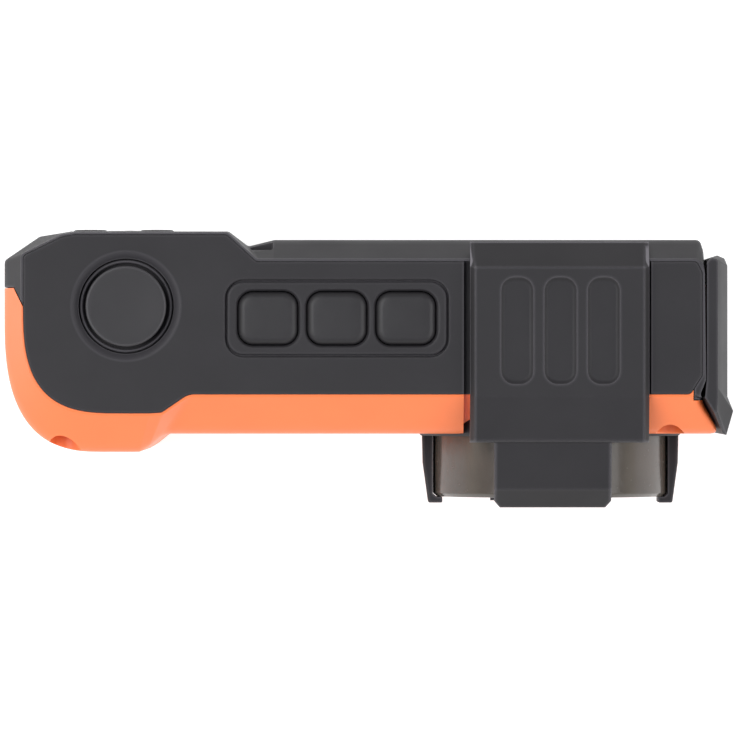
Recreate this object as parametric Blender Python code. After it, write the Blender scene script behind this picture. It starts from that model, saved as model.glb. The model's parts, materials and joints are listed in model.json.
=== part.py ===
"""A rugged waterproof action camera, modelled in metres with +Z up.

The lens faces -Y, the screen faces +Y and the hand grip is at -X. The origin is on the flat base, below the
middle of the body. Each sub-part is one named object. The camera stands on its base.
"""

import math

import bmesh
import bpy
from mathutils import Matrix, Vector

MM = 0.001
GAP = 0.3 * MM  # between pieces that touch

# Driving dimensions of the body
BASE_Z = 0.0
SIDE_BOTTOM_Z = 2.0 * MM  # the base chamfer ends here
SHOULDER_Z = 60.0 * MM  # the walls are upright up to here
RIM_Z = 65.7 * MM  # top edge of the two covers
TOP_Z = 66.0 * MM  # top of the top panel
PANEL_THICKNESS = 2.0 * MM
WALL = 1.8 * MM
FRONT_Y = -14.9 * MM
REAR_Y = 14.9 * MM
LEFT_X = -56.0 * MM
SPLIT_Y = 7.6 * MM  # the joint between the front and the rear cover
END_WALL = (49.35 * MM, -8.6 * MM)  # X and Y where the rear cover's arm round the right end starts
GRIP_X = -41.0 * MM  # centre of the grip's round front
GRIP_FRONT_Y = -17.7 * MM
GRIP_REAR_Y = 16.2 * MM

# Lens
LENS_X = 28.2 * MM
LENS_Z = 43.4 * MM
BARREL_RADIUS = 18.2 * MM
CLAW_INNER = 18.5 * MM
CLAW_OUTER = 19.9 * MM
CLAW_WIDTH = 18.0 * MM

# Top controls
SHUTTER_X = -37.1 * MM
SHUTTER_Y = 4.65 * MM
KEY_XS = (-15.4 * MM, -4.85 * MM, 5.7 * MM)
KEY_Y = 2.8 * MM
KEY_WIDTH = 8.9 * MM
KEY_DEPTH = 7.9 * MM
BEZEL_WIDTH = 33.6 * MM
BEZEL_DEPTH = 11.2 * MM
PILL_XS = (22.7 * MM, 29.3 * MM, 35.9 * MM)
PILL_Y = 0.9 * MM
BRACKET_X = 29.2 * MM
BRACKET_WIDTH = 27.4 * MM
BRACKET_TOP_Z = 67.7 * MM

# Side door
DOOR_BOTTOM_Z = 3.0 * MM
DOOR_TOP_Z = 65.3 * MM
HINGE_X = 53.5 * MM
HINGE_Y = 10.9 * MM
LUG_SPANS = ((12.0 * MM, 18.0 * MM), (46.0 * MM, 52.0 * MM))

# Openings of the covers
FLASH_X = 1.5 * MM
FLASH_Z = 52.5 * MM
GRIP_PAD_X = -41.2 * MM
GRIP_PAD_Z = 31.0 * MM
SCREEN_X = 16.5 * MM
SCREEN_Z = 33.0 * MM
SPEAKER_X = -13.0 * MM
SPEAKER_Z = 20.0 * MM
TRIPOD_X = 28.2 * MM

# Keys on the back of the grip: name, X, Z, width, height
REAR_KEYS = (
    ("zoom_in_key", -43.0 * MM, 51.0 * MM, 5.4 * MM, 4.6 * MM),
    ("zoom_out_key", -32.7 * MM, 51.0 * MM, 5.4 * MM, 4.6 * MM),
    ("up_key", -37.2 * MM, 43.0 * MM, 7.6 * MM, 4.0 * MM),
    ("down_key", -37.2 * MM, 28.2 * MM, 7.6 * MM, 4.0 * MM),
    ("left_key", -43.5 * MM, 35.6 * MM, 3.7 * MM, 7.4 * MM),
    ("right_key", -30.9 * MM, 35.6 * MM, 3.7 * MM, 7.4 * MM),
    ("confirm_key", -37.2 * MM, 35.6 * MM, 5.8 * MM, 5.8 * MM),
    ("menu_key", -43.0 * MM, 14.6 * MM, 5.4 * MM, 4.6 * MM),
    ("playback_key", -32.7 * MM, 14.6 * MM, 5.4 * MM, 4.6 * MM),
)
REAR_KEY_PROUD = 0.4 * MM
REAR_KEY_BACK_Y = 13.3 * MM
STRAP_BAR = (-52.7 * MM, 12.7 * MM, 0.0)

# Fasteners of the front cover
FRONT_SCREWS = (
    (-46.6 * MM, 59.3 * MM),
    (46.3 * MM, 59.3 * MM),
    (-46.6 * MM, 6.0 * MM),
    (46.3 * MM, 6.0 * MM),
)
SCREW_SEAT = 10.9 * MM  # floor of a screw's recess, forward of the origin

ALONG_Y = Matrix.Rotation(math.radians(90), 4, "X")

MATERIALS = {
    "orange_shell": ((1.0, 0.30, 0.10), 0.42, 0.0),
    "black_shell": ((0.060, 0.058, 0.066), 0.5, 0.0),
    "black_key": ((0.055, 0.053, 0.060), 0.45, 0.0),
    "lens_housing": ((0.10, 0.098, 0.10), 0.3, 0.0),
    "rubber": ((0.03, 0.03, 0.032), 0.8, 0.0),
    "seal": ((0.55, 0.10, 0.05), 0.6, 0.0),
    "glass": ((0.25, 0.30, 0.34), 0.05, 0.0),
    "screen_glass": ((0.01, 0.01, 0.013), 0.06, 0.0),
    "steel": ((0.62, 0.62, 0.64), 0.28, 1.0),
    "brass": ((0.75, 0.58, 0.30), 0.3, 1.0),
    "circuit": ((0.03, 0.22, 0.10), 0.5, 0.0),
    "component": ((0.03, 0.03, 0.035), 0.4, 0.0),
    "battery_wrap": ((0.20, 0.28, 0.42), 0.4, 0.0),
}


# ---------------------------------------------------------------- helpers


def material_of(name):
    """The Principled material of that name, made on first use."""
    found = bpy.data.materials.get(name)
    if found:
        return found
    colour, roughness, metallic = MATERIALS[name]
    made = bpy.data.materials.new(name)
    made.use_nodes = True
    shader = made.node_tree.nodes["Principled BSDF"]
    shader.inputs["Base Color"].default_value = (*colour, 1.0)
    shader.inputs["Roughness"].default_value = roughness
    shader.inputs["Metallic"].default_value = metallic
    return made


def new_object(name, bm, material=None):
    """An object holding the bmesh, with its normals facing out."""
    bmesh.ops.recalc_face_normals(bm, faces=bm.faces)
    mesh = bpy.data.meshes.new(name)
    bm.to_mesh(mesh)
    bm.free()
    obj = bpy.data.objects.new(name, mesh)
    bpy.context.scene.collection.objects.link(obj)
    if material:
        mesh.materials.append(material_of(material))
        mesh.shade_smooth()
        mesh.set_sharp_from_angle(angle=math.radians(30))
    return obj


def loft(name, rings, material=None):
    """A closed solid through rings of equal point counts, capped at both ends."""
    bm = bmesh.new()
    levels = [[bm.verts.new(point) for point in ring] for ring in rings]
    count = len(rings[0])
    for lower, upper in zip(levels, levels[1:]):
        for i in range(count):
            j = (i + 1) % count
            bm.faces.new((lower[i], lower[j], upper[j], upper[i]))
    bm.faces.new(levels[0][::-1])
    bm.faces.new(levels[-1])
    return new_object(name, bm, material)


def at_height(outline, z):
    return [Vector((x, y, z)) for x, y in outline]


def prism(name, outline, z0, z1, material=None):
    """An outline in the XY plane, extruded from z0 to z1."""
    return loft(name, [at_height(outline, z0), at_height(outline, z1)], material)


def moved(obj, matrix):
    """The object with its mesh carried by the matrix, so that its origin stays at the world's."""
    obj.data.transform(matrix)
    if matrix.determinant() < 0:
        obj.data.flip_normals()
    return obj


def put_origin(obj, point):
    """The object with its origin at the point. Its shape stays where it is."""
    obj.data.transform(Matrix.Translation(-Vector(point)))
    obj.location = point
    return obj


def box(name, low, high, material=None, bevel=0.0):
    """A box between two corners. A bevel rounds all its edges with one chamfer."""
    bm = bmesh.new()
    bmesh.ops.create_cube(bm, size=1.0)
    size = [b - a for a, b in zip(low, high)]
    centre = [(a + b) / 2 for a, b in zip(low, high)]
    bmesh.ops.scale(bm, vec=size, verts=bm.verts)
    if bevel:
        bmesh.ops.bevel(bm, geom=bm.edges, offset=bevel, segments=1, affect="EDGES")
    bmesh.ops.translate(bm, vec=centre, verts=bm.verts)
    return new_object(name, bm, material)


def turned(name, profile, material=None, segments=32, turn=Matrix.Identity(4), centre=(0, 0, 0)):
    """A solid of revolution about Z from a closed loop of (radius, height), then turned and placed."""
    bm = bmesh.new()
    columns = []
    for k in range(segments):
        angle = 2 * math.pi * (k + 0.5) / segments
        columns.append([(r * math.cos(angle), r * math.sin(angle), h) for r, h in profile])
    on_axis = {}
    rings = []
    for column in columns:
        ring = []
        for i, (point, (r, h)) in enumerate(zip(column, profile)):
            if r == 0 and i not in on_axis:
                on_axis[i] = bm.verts.new((0, 0, h))
            ring.append(on_axis[i] if r == 0 else bm.verts.new(point))
        rings.append(ring)
    steps = len(profile)
    for ring, following in zip(rings, rings[1:] + rings[:1]):
        for i in range(steps):
            j = (i + 1) % steps
            corners = list(dict.fromkeys((ring[i], following[i], following[j], ring[j])))
            if len(corners) > 2:
                bm.faces.new(corners)
    return moved(new_object(name, bm, material), Matrix.Translation(centre) @ turn)


def cylinder(name, radius, z0, z1, material=None, segments=32, turn=Matrix.Identity(4), centre=(0, 0, 0)):
    profile = [(0, z0), (radius, z0), (radius, z1), (0, z1)]
    return turned(name, profile, material, segments, turn, centre)


def ring(name, inner, outer, z0, z1, material=None, segments=32, turn=Matrix.Identity(4), centre=(0, 0, 0)):
    profile = [(inner, z0), (outer, z0), (outer, z1), (inner, z1)]
    return turned(name, profile, material, segments, turn, centre)


def rounded_rectangle(width, height, radius, segments=4, centre=(0, 0)):
    """Outline of a rectangle with round corners, anticlockwise."""
    points = []
    for quarter in range(4):
        sign_x = 1 if quarter in (0, 3) else -1
        sign_y = 1 if quarter in (0, 1) else -1
        for k in range(segments + 1):
            angle = math.radians(90) * (quarter + k / segments)
            x = centre[0] + sign_x * (width / 2 - radius) + radius * math.cos(angle)
            y = centre[1] + sign_y * (height / 2 - radius) + radius * math.sin(angle)
            points.append((x, y))
    return points


def offset(outline, distance):
    """The anticlockwise outline moved outwards by distance, with mitred corners."""
    made = []
    count = len(outline)
    for i, point in enumerate(outline):
        before = Vector(point) - Vector(outline[i - 1])
        after = Vector(outline[(i + 1) % count]) - Vector(point)
        n1 = Vector((before.y, -before.x)).normalized()
        n2 = Vector((after.y, -after.x)).normalized()
        made.append(tuple(Vector(point) + (n1 + n2) * (distance / (1 + n1.dot(n2)))))
    return made


def combine(target, other, operation="DIFFERENCE"):
    """A Boolean of the two objects, applied to the first. The second is removed."""
    modifier = target.modifiers.new("cut", "BOOLEAN")
    modifier.operation = operation
    modifier.object = other
    graph = bpy.context.evaluated_depsgraph_get()
    made = bpy.data.meshes.new_from_object(target.evaluated_get(graph))
    target.modifiers.clear()
    old = target.data
    target.data = made
    bpy.data.meshes.remove(old)
    bpy.data.meshes.remove(other.data)
    made.set_sharp_from_angle(angle=math.radians(30))
    return target


def cut(target, *cutters):
    for cutter in cutters:
        combine(target, cutter)
    return target


def join(target, *others):
    for other in others:
        combine(target, other, "UNION")
    return target


# ---------------------------------------------------------------- body outlines


def superellipse(centre, rx, ry, power, segments):
    """The lower left quarter of a superellipse, from its leftmost point to its lowest."""
    points = []
    for k in range(segments + 1):
        angle = math.radians(90) * k / segments
        x = centre[0] - rx * math.cos(angle) ** (2 / power)
        y = centre[1] - ry * math.sin(angle) ** (2 / power)
        points.append((x, y))
    return points


def body_outline():
    """The covers' plan at their widest, anticlockwise from the grip's left side."""
    grip = superellipse((GRIP_X, 3.0 * MM), GRIP_X - LEFT_X, 3.0 * MM - GRIP_FRONT_Y, 2.7, 10)
    rest = [
        (-35.2, -17.7), (-33.7, -16.8), (-31.4, -14.9), (54.0, -14.9),
        (50.1, -9.0), (51.4, -6.6), (51.4, 13.3), (50.9, 14.9),
        (-14.5, 14.9), (-18.5, 13.9), (-21.5, 16.2), (-45.7, 16.2), (-50.6, 15.4), (-56.0, 11.7),
    ]
    return grip + [(x * MM, y * MM) for x, y in rest]


def panel_outline():
    """The top panel's plan. Its points answer those of body_outline one for one."""
    grip = superellipse((-38.0 * MM, 5.0 * MM), 14.8 * MM, 16.7 * MM, 3.0, 10)
    rest = [
        (-33.6, -11.7), (-31.7, -11.6), (-27.6, -8.8), (49.2, -8.8),
        (50.1, -7.4), (51.0, -6.0), (51.0, 9.8), (50.2, 11.5),
        (-14.5, 11.5), (-17.2, 11.5), (-21.7, 15.6), (-44.9, 15.6), (-46.8, 15.3), (-52.8, 12.4),
    ]
    return grip + [(x * MM, y * MM) for x, y in rest]


def body_solid(name):
    """The whole body as one solid, before it is hollowed and split."""
    outer = body_outline()
    rim = offset(panel_outline(), 0.35 * MM)
    return loft(name, [
        at_height(offset(outer, -1.6 * MM), BASE_Z),
        at_height(outer, SIDE_BOTTOM_Z),
        at_height(outer, SHOULDER_Z),
        at_height(rim, RIM_Z),
    ])


def body_cavity(name):
    inner = offset(body_outline(), -WALL)
    neck = offset(panel_outline(), -1.6 * MM)
    return loft(name, [
        at_height(inner, WALL),
        at_height(inner, SHOULDER_Z - 1.2 * MM),
        at_height(neck, TOP_Z - PANEL_THICKNESS - GAP),
        at_height(neck, TOP_Z + 5 * MM),
    ])


def panel_pocket():
    """The step in the covers' rim that the top panel lies in."""
    return prism("pocket", offset(panel_outline(), 0.12 * MM), TOP_Z - PANEL_THICKNESS - GAP, TOP_Z + 5 * MM)


# ---------------------------------------------------------------- covers


def facing_rear(x, y, z):
    """Carries an outline's XY plane to the XZ plane, with its extrusion towards +Y."""
    return Matrix.Translation((x, y, z)) @ Matrix.Rotation(math.radians(-90), 4, "X")


def facing_front(x, y, z):
    """Carries an outline's XY plane to the XZ plane, with its extrusion towards -Y."""
    return Matrix.Translation((x, y, z)) @ ALONG_Y


def plate(name, width, height, radius, depth, place, material=None, back=0.0, segments=3):
    """A plate with round corners, from -back to depth along its facing."""
    outline = rounded_rectangle(width, height, radius, segments)
    return moved(prism(name, outline, -back, depth, material), place)


def body_shell(name, material, solid_spots):
    """The hollow body. Its cavity leaves the solid spots standing."""
    cavity = cut(body_cavity("cavity"), *solid_spots)
    shell = body_solid(name)
    shell.data.materials.append(material_of(material))
    return cut(shell, cavity, panel_pocket())


def beyond_front_cover():
    """Everything behind the split, and the right end wall: what the front cover leaves out."""
    reach = 100 * MM
    x, y = (place - GAP / 2 for place in END_WALL)
    behind = box("behind", (-reach, SPLIT_Y - GAP / 2, -reach), (reach, reach, reach))
    return join(behind, box("end_wall", (x, y, -reach), (reach, reach / 2, reach)))


def beyond_rear_cover():
    """Everything in front of the split, except the right end wall: what the rear cover leaves out."""
    reach = 100 * MM
    x, y = (place + GAP / 2 for place in END_WALL)
    ahead = box("ahead", (-reach, -reach, -reach), (reach, SPLIT_Y + GAP / 2, reach))
    return cut(ahead, box("end_wall", (x, y, -2 * reach), (2 * reach, reach, 2 * reach)))


def side_opening():
    return box("side_opening", (45 * MM, -4.7 * MM, 5.3 * MM), (60 * MM, 12.2 * MM, 61.0 * MM))


def screw_post(x, z, low_y, high_y, radius):
    return cylinder("post", radius, -high_y, -low_y, None, 16, ALONG_Y, (x, 0, z))


def make_front_cover():
    posts = [screw_post(x, z, -25 * MM, -4.8 * MM, 3.2 * MM) for x, z in FRONT_SCREWS]
    cover = cut(body_shell("front_cover", "orange_shell", posts), beyond_front_cover(), side_opening())
    flash = facing_front(FLASH_X, FRONT_Y, FLASH_Z)
    cut(
        cover,
        cylinder("hole", 20.8 * MM, -2.2 * MM, 5 * MM, None, 64, ALONG_Y, (LENS_X, FRONT_Y, LENS_Z)),
        plate("hole", 12.6 * MM, 6.6 * MM, 1.6 * MM, 6 * MM, flash, back=6 * MM),
        plate("pad_hollow", 11.6 * MM, 40.6 * MM, 3.0 * MM, 5 * MM,
              facing_front(GRIP_PAD_X, GRIP_FRONT_Y, GRIP_PAD_Z), back=1.2 * MM),
        cylinder("tripod_hole", 5.0 * MM, -1 * MM, 4 * MM, None, 24, centre=(TRIPOD_X, 0, 0)),
    )
    for step in (-1, 0, 1):
        place = facing_front(SPEAKER_X + step * 3.2 * MM, FRONT_Y, SPEAKER_Z)
        cut(cover, plate("slot", 1.5 * MM, 9 * MM, 0.7 * MM, 5 * MM, place, back=5 * MM))
    for x, z in FRONT_SCREWS:
        cut(cover, cylinder("recess", 2.15 * MM, SCREW_SEAT, 30 * MM, None, 16, ALONG_Y, (x, 0, z)))
        cut(cover, cylinder("bore", 1.25 * MM, -1 * MM, 20 * MM, None, 12, ALONG_Y, (x, 0, z)))
    return cover


def make_rear_cover():
    corner = box("corner", (-60 * MM, 8.0 * MM, 43.5 * MM), (-47.9 * MM, 20 * MM, 70 * MM))
    cover = cut(body_shell("rear_cover", "black_shell", [corner]), beyond_rear_cover(), side_opening())
    for x, z in FRONT_SCREWS:
        wall_y = (14.6 if x < 0 else 13.3) * MM
        join(cover, screw_post(x, z, -4.5 * MM, wall_y, 2.6 * MM))
    screen = facing_rear(SCREEN_X, REAR_Y, SCREEN_Z)
    cut(
        cover,
        plate("window", 60.6 * MM, 46.6 * MM, 2.4 * MM, 5 * MM, screen, back=1.3 * MM),
        plate("view", 55 * MM, 41.5 * MM, 0.6 * MM, 5 * MM, screen, back=6 * MM),
        strap_notch(),
    )
    for _, x, z, width, height in REAR_KEYS:
        place = facing_rear(x, GRIP_REAR_Y, z)
        cut(cover, plate("hole", width + 0.7 * MM, height + 0.7 * MM, 1.6 * MM, 5 * MM, place, back=6 * MM))
    for x, z in FRONT_SCREWS:
        cut(cover, cylinder("bore", 1.05 * MM, -6 * MM, 5 * MM, None, 12, ALONG_Y, (x, 0, z)))
    return cover


def strap_notch():
    """The hollow at the grip's rear corner that the strap's loop goes through."""
    notch = box("notch", (-60 * MM, 9.9 * MM, 47.0 * MM), (-49.9 * MM, 20 * MM, 58.0 * MM))
    return join(notch, cylinder("bar_hole", 1.0 * MM, 44.9 * MM, 59.7 * MM, None, 16, centre=STRAP_BAR))


def make_strap_bar():
    return cylinder("strap_bar", 0.85 * MM, 45.5 * MM, 59.1 * MM, "steel", 16, centre=STRAP_BAR)


def make_top_panel():
    panel = prism("top_panel", panel_outline(), TOP_Z - PANEL_THICKNESS, TOP_Z, "black_shell")
    dish = turned("dish", [(0, -5 * MM), (7.35 * MM, -5 * MM), (7.35 * MM, -0.5 * MM), (8.5 * MM, 0.05 * MM),
                           (8.5 * MM, 1 * MM), (0, 1 * MM)], None, 40, centre=(SHUTTER_X, SHUTTER_Y, TOP_Z))
    keypad = plate("keypad", BEZEL_WIDTH + 0.6 * MM, BEZEL_DEPTH + 0.6 * MM, 2.8 * MM, 1 * MM,
                   Matrix.Translation((KEY_XS[1], KEY_Y, TOP_Z)), back=5 * MM)
    return cut(panel, dish, keypad)


def make_top_bracket():
    """The raised bridge over the lens: its side profile drawn in YZ, extruded along X and chamfered."""
    profile = [
        (14.6, 63.9), (11.1, 67.7), (-9.2, 67.7), (-16.2, 66.5), (-16.2, 61.6), (-15.3, 60.2),
        (-14.9, 60.45), (-9.0, 66.3), (11.75, 66.3), (14.2, 63.6),
    ]
    half = BRACKET_WIDTH / 2
    inset = 0.9 * MM
    drop = 0.45 * MM

    def side(x, lowered):
        """The profile at one x, with its upper points lowered. That makes the side bevels."""
        return [(x, y * MM, z * MM - (lowered if 0 < i < 4 else 0.0)) for i, (y, z) in enumerate(profile)]

    bracket = loft("top_bracket", [
        side(BRACKET_X - half, drop), side(BRACKET_X - half + inset, 0.0),
        side(BRACKET_X + half - inset, 0.0), side(BRACKET_X + half, drop),
    ], "black_shell")
    for x in PILL_XS:
        lower = rounded_rectangle(3.6 * MM, 15.0 * MM, 1.3 * MM, 4, (x, PILL_Y))
        upper = rounded_rectangle(5.0 * MM, 16.4 * MM, 2.0 * MM, 4, (x, PILL_Y))
        pill = loft("pill", [
            at_height(lower, BRACKET_TOP_Z - 0.55 * MM), at_height(upper, BRACKET_TOP_Z + 0.02 * MM),
            at_height(upper, BRACKET_TOP_Z + 2 * MM),
        ])
        cut(bracket, pill)
    inner = CLAW_INNER / MM
    side = [(13.5, 21.4), (14.5, 23.0), (23.4, 21.0), (26.2, 18.4), (26.2, inner - 3.2), (24.95, inner - 3.2),
            (24.95, inner + 0.2), (15.7, inner + 0.4), (15.2, 20.9)]
    join(bracket, claw(side, CLAW_WIDTH / MM, Matrix.Translation((LENS_X, 0, LENS_Z))))
    room = cylinder("barrel_room", CLAW_INNER, 12 * MM, 24.95 * MM, None, 64, ALONG_Y, (LENS_X, 0, LENS_Z))
    return cut(bracket, room)


# ---------------------------------------------------------------- lens


def lens_turned(name, profile, material, segments=48):
    """A turned lens part. Its profile is in mm: radius, and distance forward of the Y origin."""
    points = [(r * MM, h * MM) for r, h in profile]
    return turned(name, points, material, segments, ALONG_Y, (LENS_X, 0, LENS_Z))


def claw(side, width, place):
    """A bent flat bar that runs forward over the barrel and hooks over its rim.

    Its side is drawn in mm: distance forward, and distance from the lens axis. Points 1 to 3 are the outer face.
    """
    trim = 0.35
    rings = []
    for x, drop in ((-width / 2, trim), (trim - width / 2, 0), (width / 2 - trim, 0), (width / 2, trim)):
        points = [(forward, r - (drop if 0 < i < 4 else 0)) for i, (forward, r) in enumerate(side)]
        rings.append([(x * MM, -forward * MM, r * MM) for forward, r in points])
    return moved(loft("claw", rings), place)


def make_lens_guard():
    """The ring that sits in the front cover, with its claws at the left, the right and below."""
    guard = lens_turned("lens_guard", [(18.5, 12.9), (20.5, 12.9), (20.5, 14.8), (20.1, 15.3), (18.5, 15.3)],
                        "black_shell", 64)
    inner, outer = CLAW_INNER / MM, CLAW_OUTER / MM
    side = [
        (15.2, inner), (15.2, outer), (19.5, outer - 0.1), (25.7, outer - 0.95),
        (25.7, inner - 1.6), (24.95, inner - 1.6), (24.95, inner),
    ]
    for degrees, width in ((90, 8.0), (180, 18.0), (270, 8.0)):
        turn = Matrix.Rotation(math.radians(degrees), 4, "Y")
        join(guard, claw(side, width, Matrix.Translation((LENS_X, 0, LENS_Z)) @ turn))
    reach = 14 * MM
    low, high = (LENS_X - reach, -30 * MM, 59.85 * MM), (LENS_X + reach, 0, 70 * MM)
    return cut(guard, box("bridge_room", low, high))


def glass_disc(name, radius, back, front, bulge):
    """A lens element: a disc with both faces bulging outwards. In mm."""
    steps = 4
    profile = [(0, back - bulge)]
    for k in range(1, steps + 1):
        share = k / steps
        profile.append((radius * share, back - bulge * (1 - share ** 2)))
    for k in range(steps, 0, -1):
        share = k / steps
        profile.append((radius * share, front + bulge * (1 - share ** 2)))
    profile.append((0, front + bulge))
    return lens_turned(name, profile, "glass", 32)


def make_lens():
    radius = BARREL_RADIUS / MM
    lens_turned("lens_barrel", [
        (14.5, 13.0), (radius, 13.0), (radius, 24.15), (radius - 0.6, 24.75), (15.2, 24.75), (15.2, 22.4),
        (14.5, 22.4),
    ], "lens_housing", 64)
    lens_turned("lens_bezel", [
        (9.6, 20.1), (14.2, 20.1), (14.2, 22.7), (14.9, 22.7), (14.9, 24.1), (14.6, 24.4), (13.9, 24.4),
        (9.6, 20.9),
    ], "black_shell")
    glass_disc("lens_window", 11.5, 18.3, 19.6, 0.15)
    lens_turned("window_seal", [(11.8, 18.3), (14.1, 18.3), (14.1, 19.7), (11.8, 19.7)], "rubber", 32)
    lens_turned("lens_holder", [
        (6.2, 4.0), (9.5, 4.0), (9.5, 15.8), (14.1, 15.8), (14.1, 17.8), (9.0, 17.8), (6.2, 15.6),
    ], "black_key", 32)
    glass_disc("front_element", 5.8, 12.6, 13.6, 0.9)
    glass_disc("rear_element", 5.8, 6.8, 7.6, 0.7)
    lens_turned("element_spacer", [(5.0, 8.8), (5.9, 8.8), (5.9, 11.4), (5.0, 11.4)], "component", 24)
    place = facing_front(LENS_X, 0, LENS_Z)
    plate("image_sensor", 9 * MM, 7.6 * MM, 0.4 * MM, 3.6 * MM, place, "component", -2.5 * MM, segments=1)
    plate("sensor_board", 20 * MM, 20 * MM, 1.5 * MM, 2.2 * MM, place, "circuit", back=-1.2 * MM)


# ---------------------------------------------------------------- top controls


def key_cap(name, width, depth, radius, bottom, top, place, flange=0.5 * MM, chamfer=0.5 * MM):
    """A key: a flange inside the case, a stem, and a cap with chamfered edges."""
    wide = rounded_rectangle(width + 2 * flange, depth + 2 * flange, radius + flange, 3)
    stem = rounded_rectangle(width, depth, radius, 3)
    face = rounded_rectangle(width - 2 * chamfer, depth - 2 * chamfer, max(radius - chamfer, 0.3 * MM), 3)
    shelf = bottom + 0.8 * MM
    cap = loft(name, [
        at_height(wide, bottom), at_height(wide, shelf), at_height(stem, shelf),
        at_height(stem, top - chamfer), at_height(face, top),
    ], "black_key")
    return moved(cap, place)


def make_top_keys():
    """The plate around the three function keys, and the keys."""
    lower = rounded_rectangle(BEZEL_WIDTH + 2.4 * MM, BEZEL_DEPTH + 2.4 * MM, 3.6 * MM, 4)
    upper = rounded_rectangle(BEZEL_WIDTH, BEZEL_DEPTH, 2.5 * MM, 4)
    bezel = loft("key_bezel", [
        at_height(lower, 62.5 * MM), at_height(lower, 63.7 * MM), at_height(upper, 63.7 * MM),
        at_height(upper, TOP_Z - 0.05 * MM),
    ], "black_shell")
    moved(bezel, Matrix.Translation((KEY_XS[1], KEY_Y, 0)))
    for number, x in enumerate(KEY_XS, 1):
        place = Matrix.Translation((x, KEY_Y, 0))
        cut(bezel, plate("hole", KEY_WIDTH + 0.7 * MM, KEY_DEPTH + 0.7 * MM, 2.5 * MM, 70 * MM, place))
        key = key_cap(f"function_key_{number}", KEY_WIDTH, KEY_DEPTH, 2.2 * MM, 61.2 * MM, TOP_Z + 0.4 * MM,
                      place, flange=0.45 * MM)
        put_origin(key, (x, KEY_Y, TOP_Z))


def make_shutter():
    """The shutter button with its stem, the collar that guides it, the seal on its stem and its spring."""
    centre = (SHUTTER_X, SHUTTER_Y, 0)
    button = mm_turned("shutter_button", [
        (0, 60.6), (2.4, 60.6), (2.4, 61.2), (1.3, 61.2), (1.3, 65.8), (5.5, 65.8), (5.5, 64.9), (6.15, 64.9),
        (6.15, 66.35), (5.75, 66.75), (0, 66.9),
    ], "black_key", 40, centre)
    put_origin(button, (SHUTTER_X, SHUTTER_Y, TOP_Z))
    mm_turned("shutter_collar", [
        (2.0, 62.8), (8.4, 62.8), (8.4, 63.65), (7.1, 63.65), (7.1, 64.1), (6.6, 64.1), (6.6, 63.2),
        (3.2, 63.2), (3.2, 64.4), (2.0, 64.4),
    ], "black_shell", 40, centre)
    mm_turned("shutter_seal", [(1.6, 61.5), (2.9, 61.5), (2.9, 62.5), (1.6, 62.5)], "seal", 24, centre)
    make_spring("shutter_spring", (SHUTTER_X, SHUTTER_Y), 4.4 * MM, 63.45 * MM, 65.55 * MM, 0.15 * MM, 3)


def mm_turned(name, profile, material, segments, centre):
    return turned(name, [(r * MM, h * MM) for r, h in profile], material, segments, centre=centre)


def make_spring(name, centre, radius, low, high, wire, turns):
    """A round-wire coil between two heights, as a swept tube with flat ends."""
    sides, steps = 6, 18 * turns
    rings = []
    for k in range(steps + 1):
        angle = 2 * math.pi * turns * k / steps
        middle = Vector((radius * math.cos(angle), radius * math.sin(angle), low + (high - low) * k / steps))
        outwards = Vector((math.cos(angle), math.sin(angle), 0))
        section = []
        for side in range(sides):
            around = 2 * math.pi * side / sides
            section.append(middle + (outwards * math.cos(around) + Vector((0, 0, math.sin(around)))) * wire)
        rings.append(section)
    return moved(loft(name, rings, "steel"), Matrix.Translation((*centre, 0)))


def make_top_board():
    """The board under the top controls, with its four switches soldered on."""
    board = box("top_board", (-43.0 * MM, -6 * MM, 57.6 * MM), (12 * MM, 6.3 * MM, 58.6 * MM), "circuit")
    places = [(SHUTTER_X, SHUTTER_Y, 59.1 * MM)] + [(x, KEY_Y, 60.2 * MM) for x in KEY_XS]
    for x, y, top in places:
        body = rounded_rectangle(3.0 * MM, 3.0 * MM, 0.4 * MM, 1, (x, y))
        dome = rounded_rectangle(2.0 * MM, 2.0 * MM, 0.9 * MM, 1, (x, y))
        join(board, loft("switch", [
            at_height(body, 58.4 * MM), at_height(body, top),
            at_height(dome, top), at_height(dome, top + 0.4 * MM),
        ]))
    return board


# ---------------------------------------------------------------- rear controls and screen


def make_rear_keys():
    for name, x, z, width, height in REAR_KEYS:
        top = GRIP_REAR_Y + REAR_KEY_PROUD
        key = key_cap(name, width, height, 1.2 * MM, REAR_KEY_BACK_Y, top, facing_rear(x, 0, z),
                      flange=0.55 * MM, chamfer=0.35 * MM)
        put_origin(key, (x, GRIP_REAR_Y, z))
    low, high = (-47.5 * MM, 11.0 * MM, 11.0 * MM), (-27.5 * MM, 12.0 * MM, 55.0 * MM)
    board = box("rear_key_board", low, high, "circuit")
    for _, x, z, _, _ in REAR_KEYS:
        place = facing_rear(x, 0, z)
        join(board, plate("dome", 2.4 * MM, 2.4 * MM, 1 * MM, 12.5 * MM, place, back=-11.5 * MM, segments=1))
    return board


def make_screen():
    screen = facing_rear(SCREEN_X, 0, SCREEN_Z)
    plate("screen_window", 60 * MM, 46 * MM, 2.1 * MM, 14.85 * MM, screen, "screen_glass", back=-13.9 * MM)
    low, high = (-13.5 * MM, 10.3 * MM, 10 * MM), (46.5 * MM, 12.7 * MM, 56 * MM)
    box("screen_panel", low, high, "component", 0.3 * MM)


# ---------------------------------------------------------------- side frame and door


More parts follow.
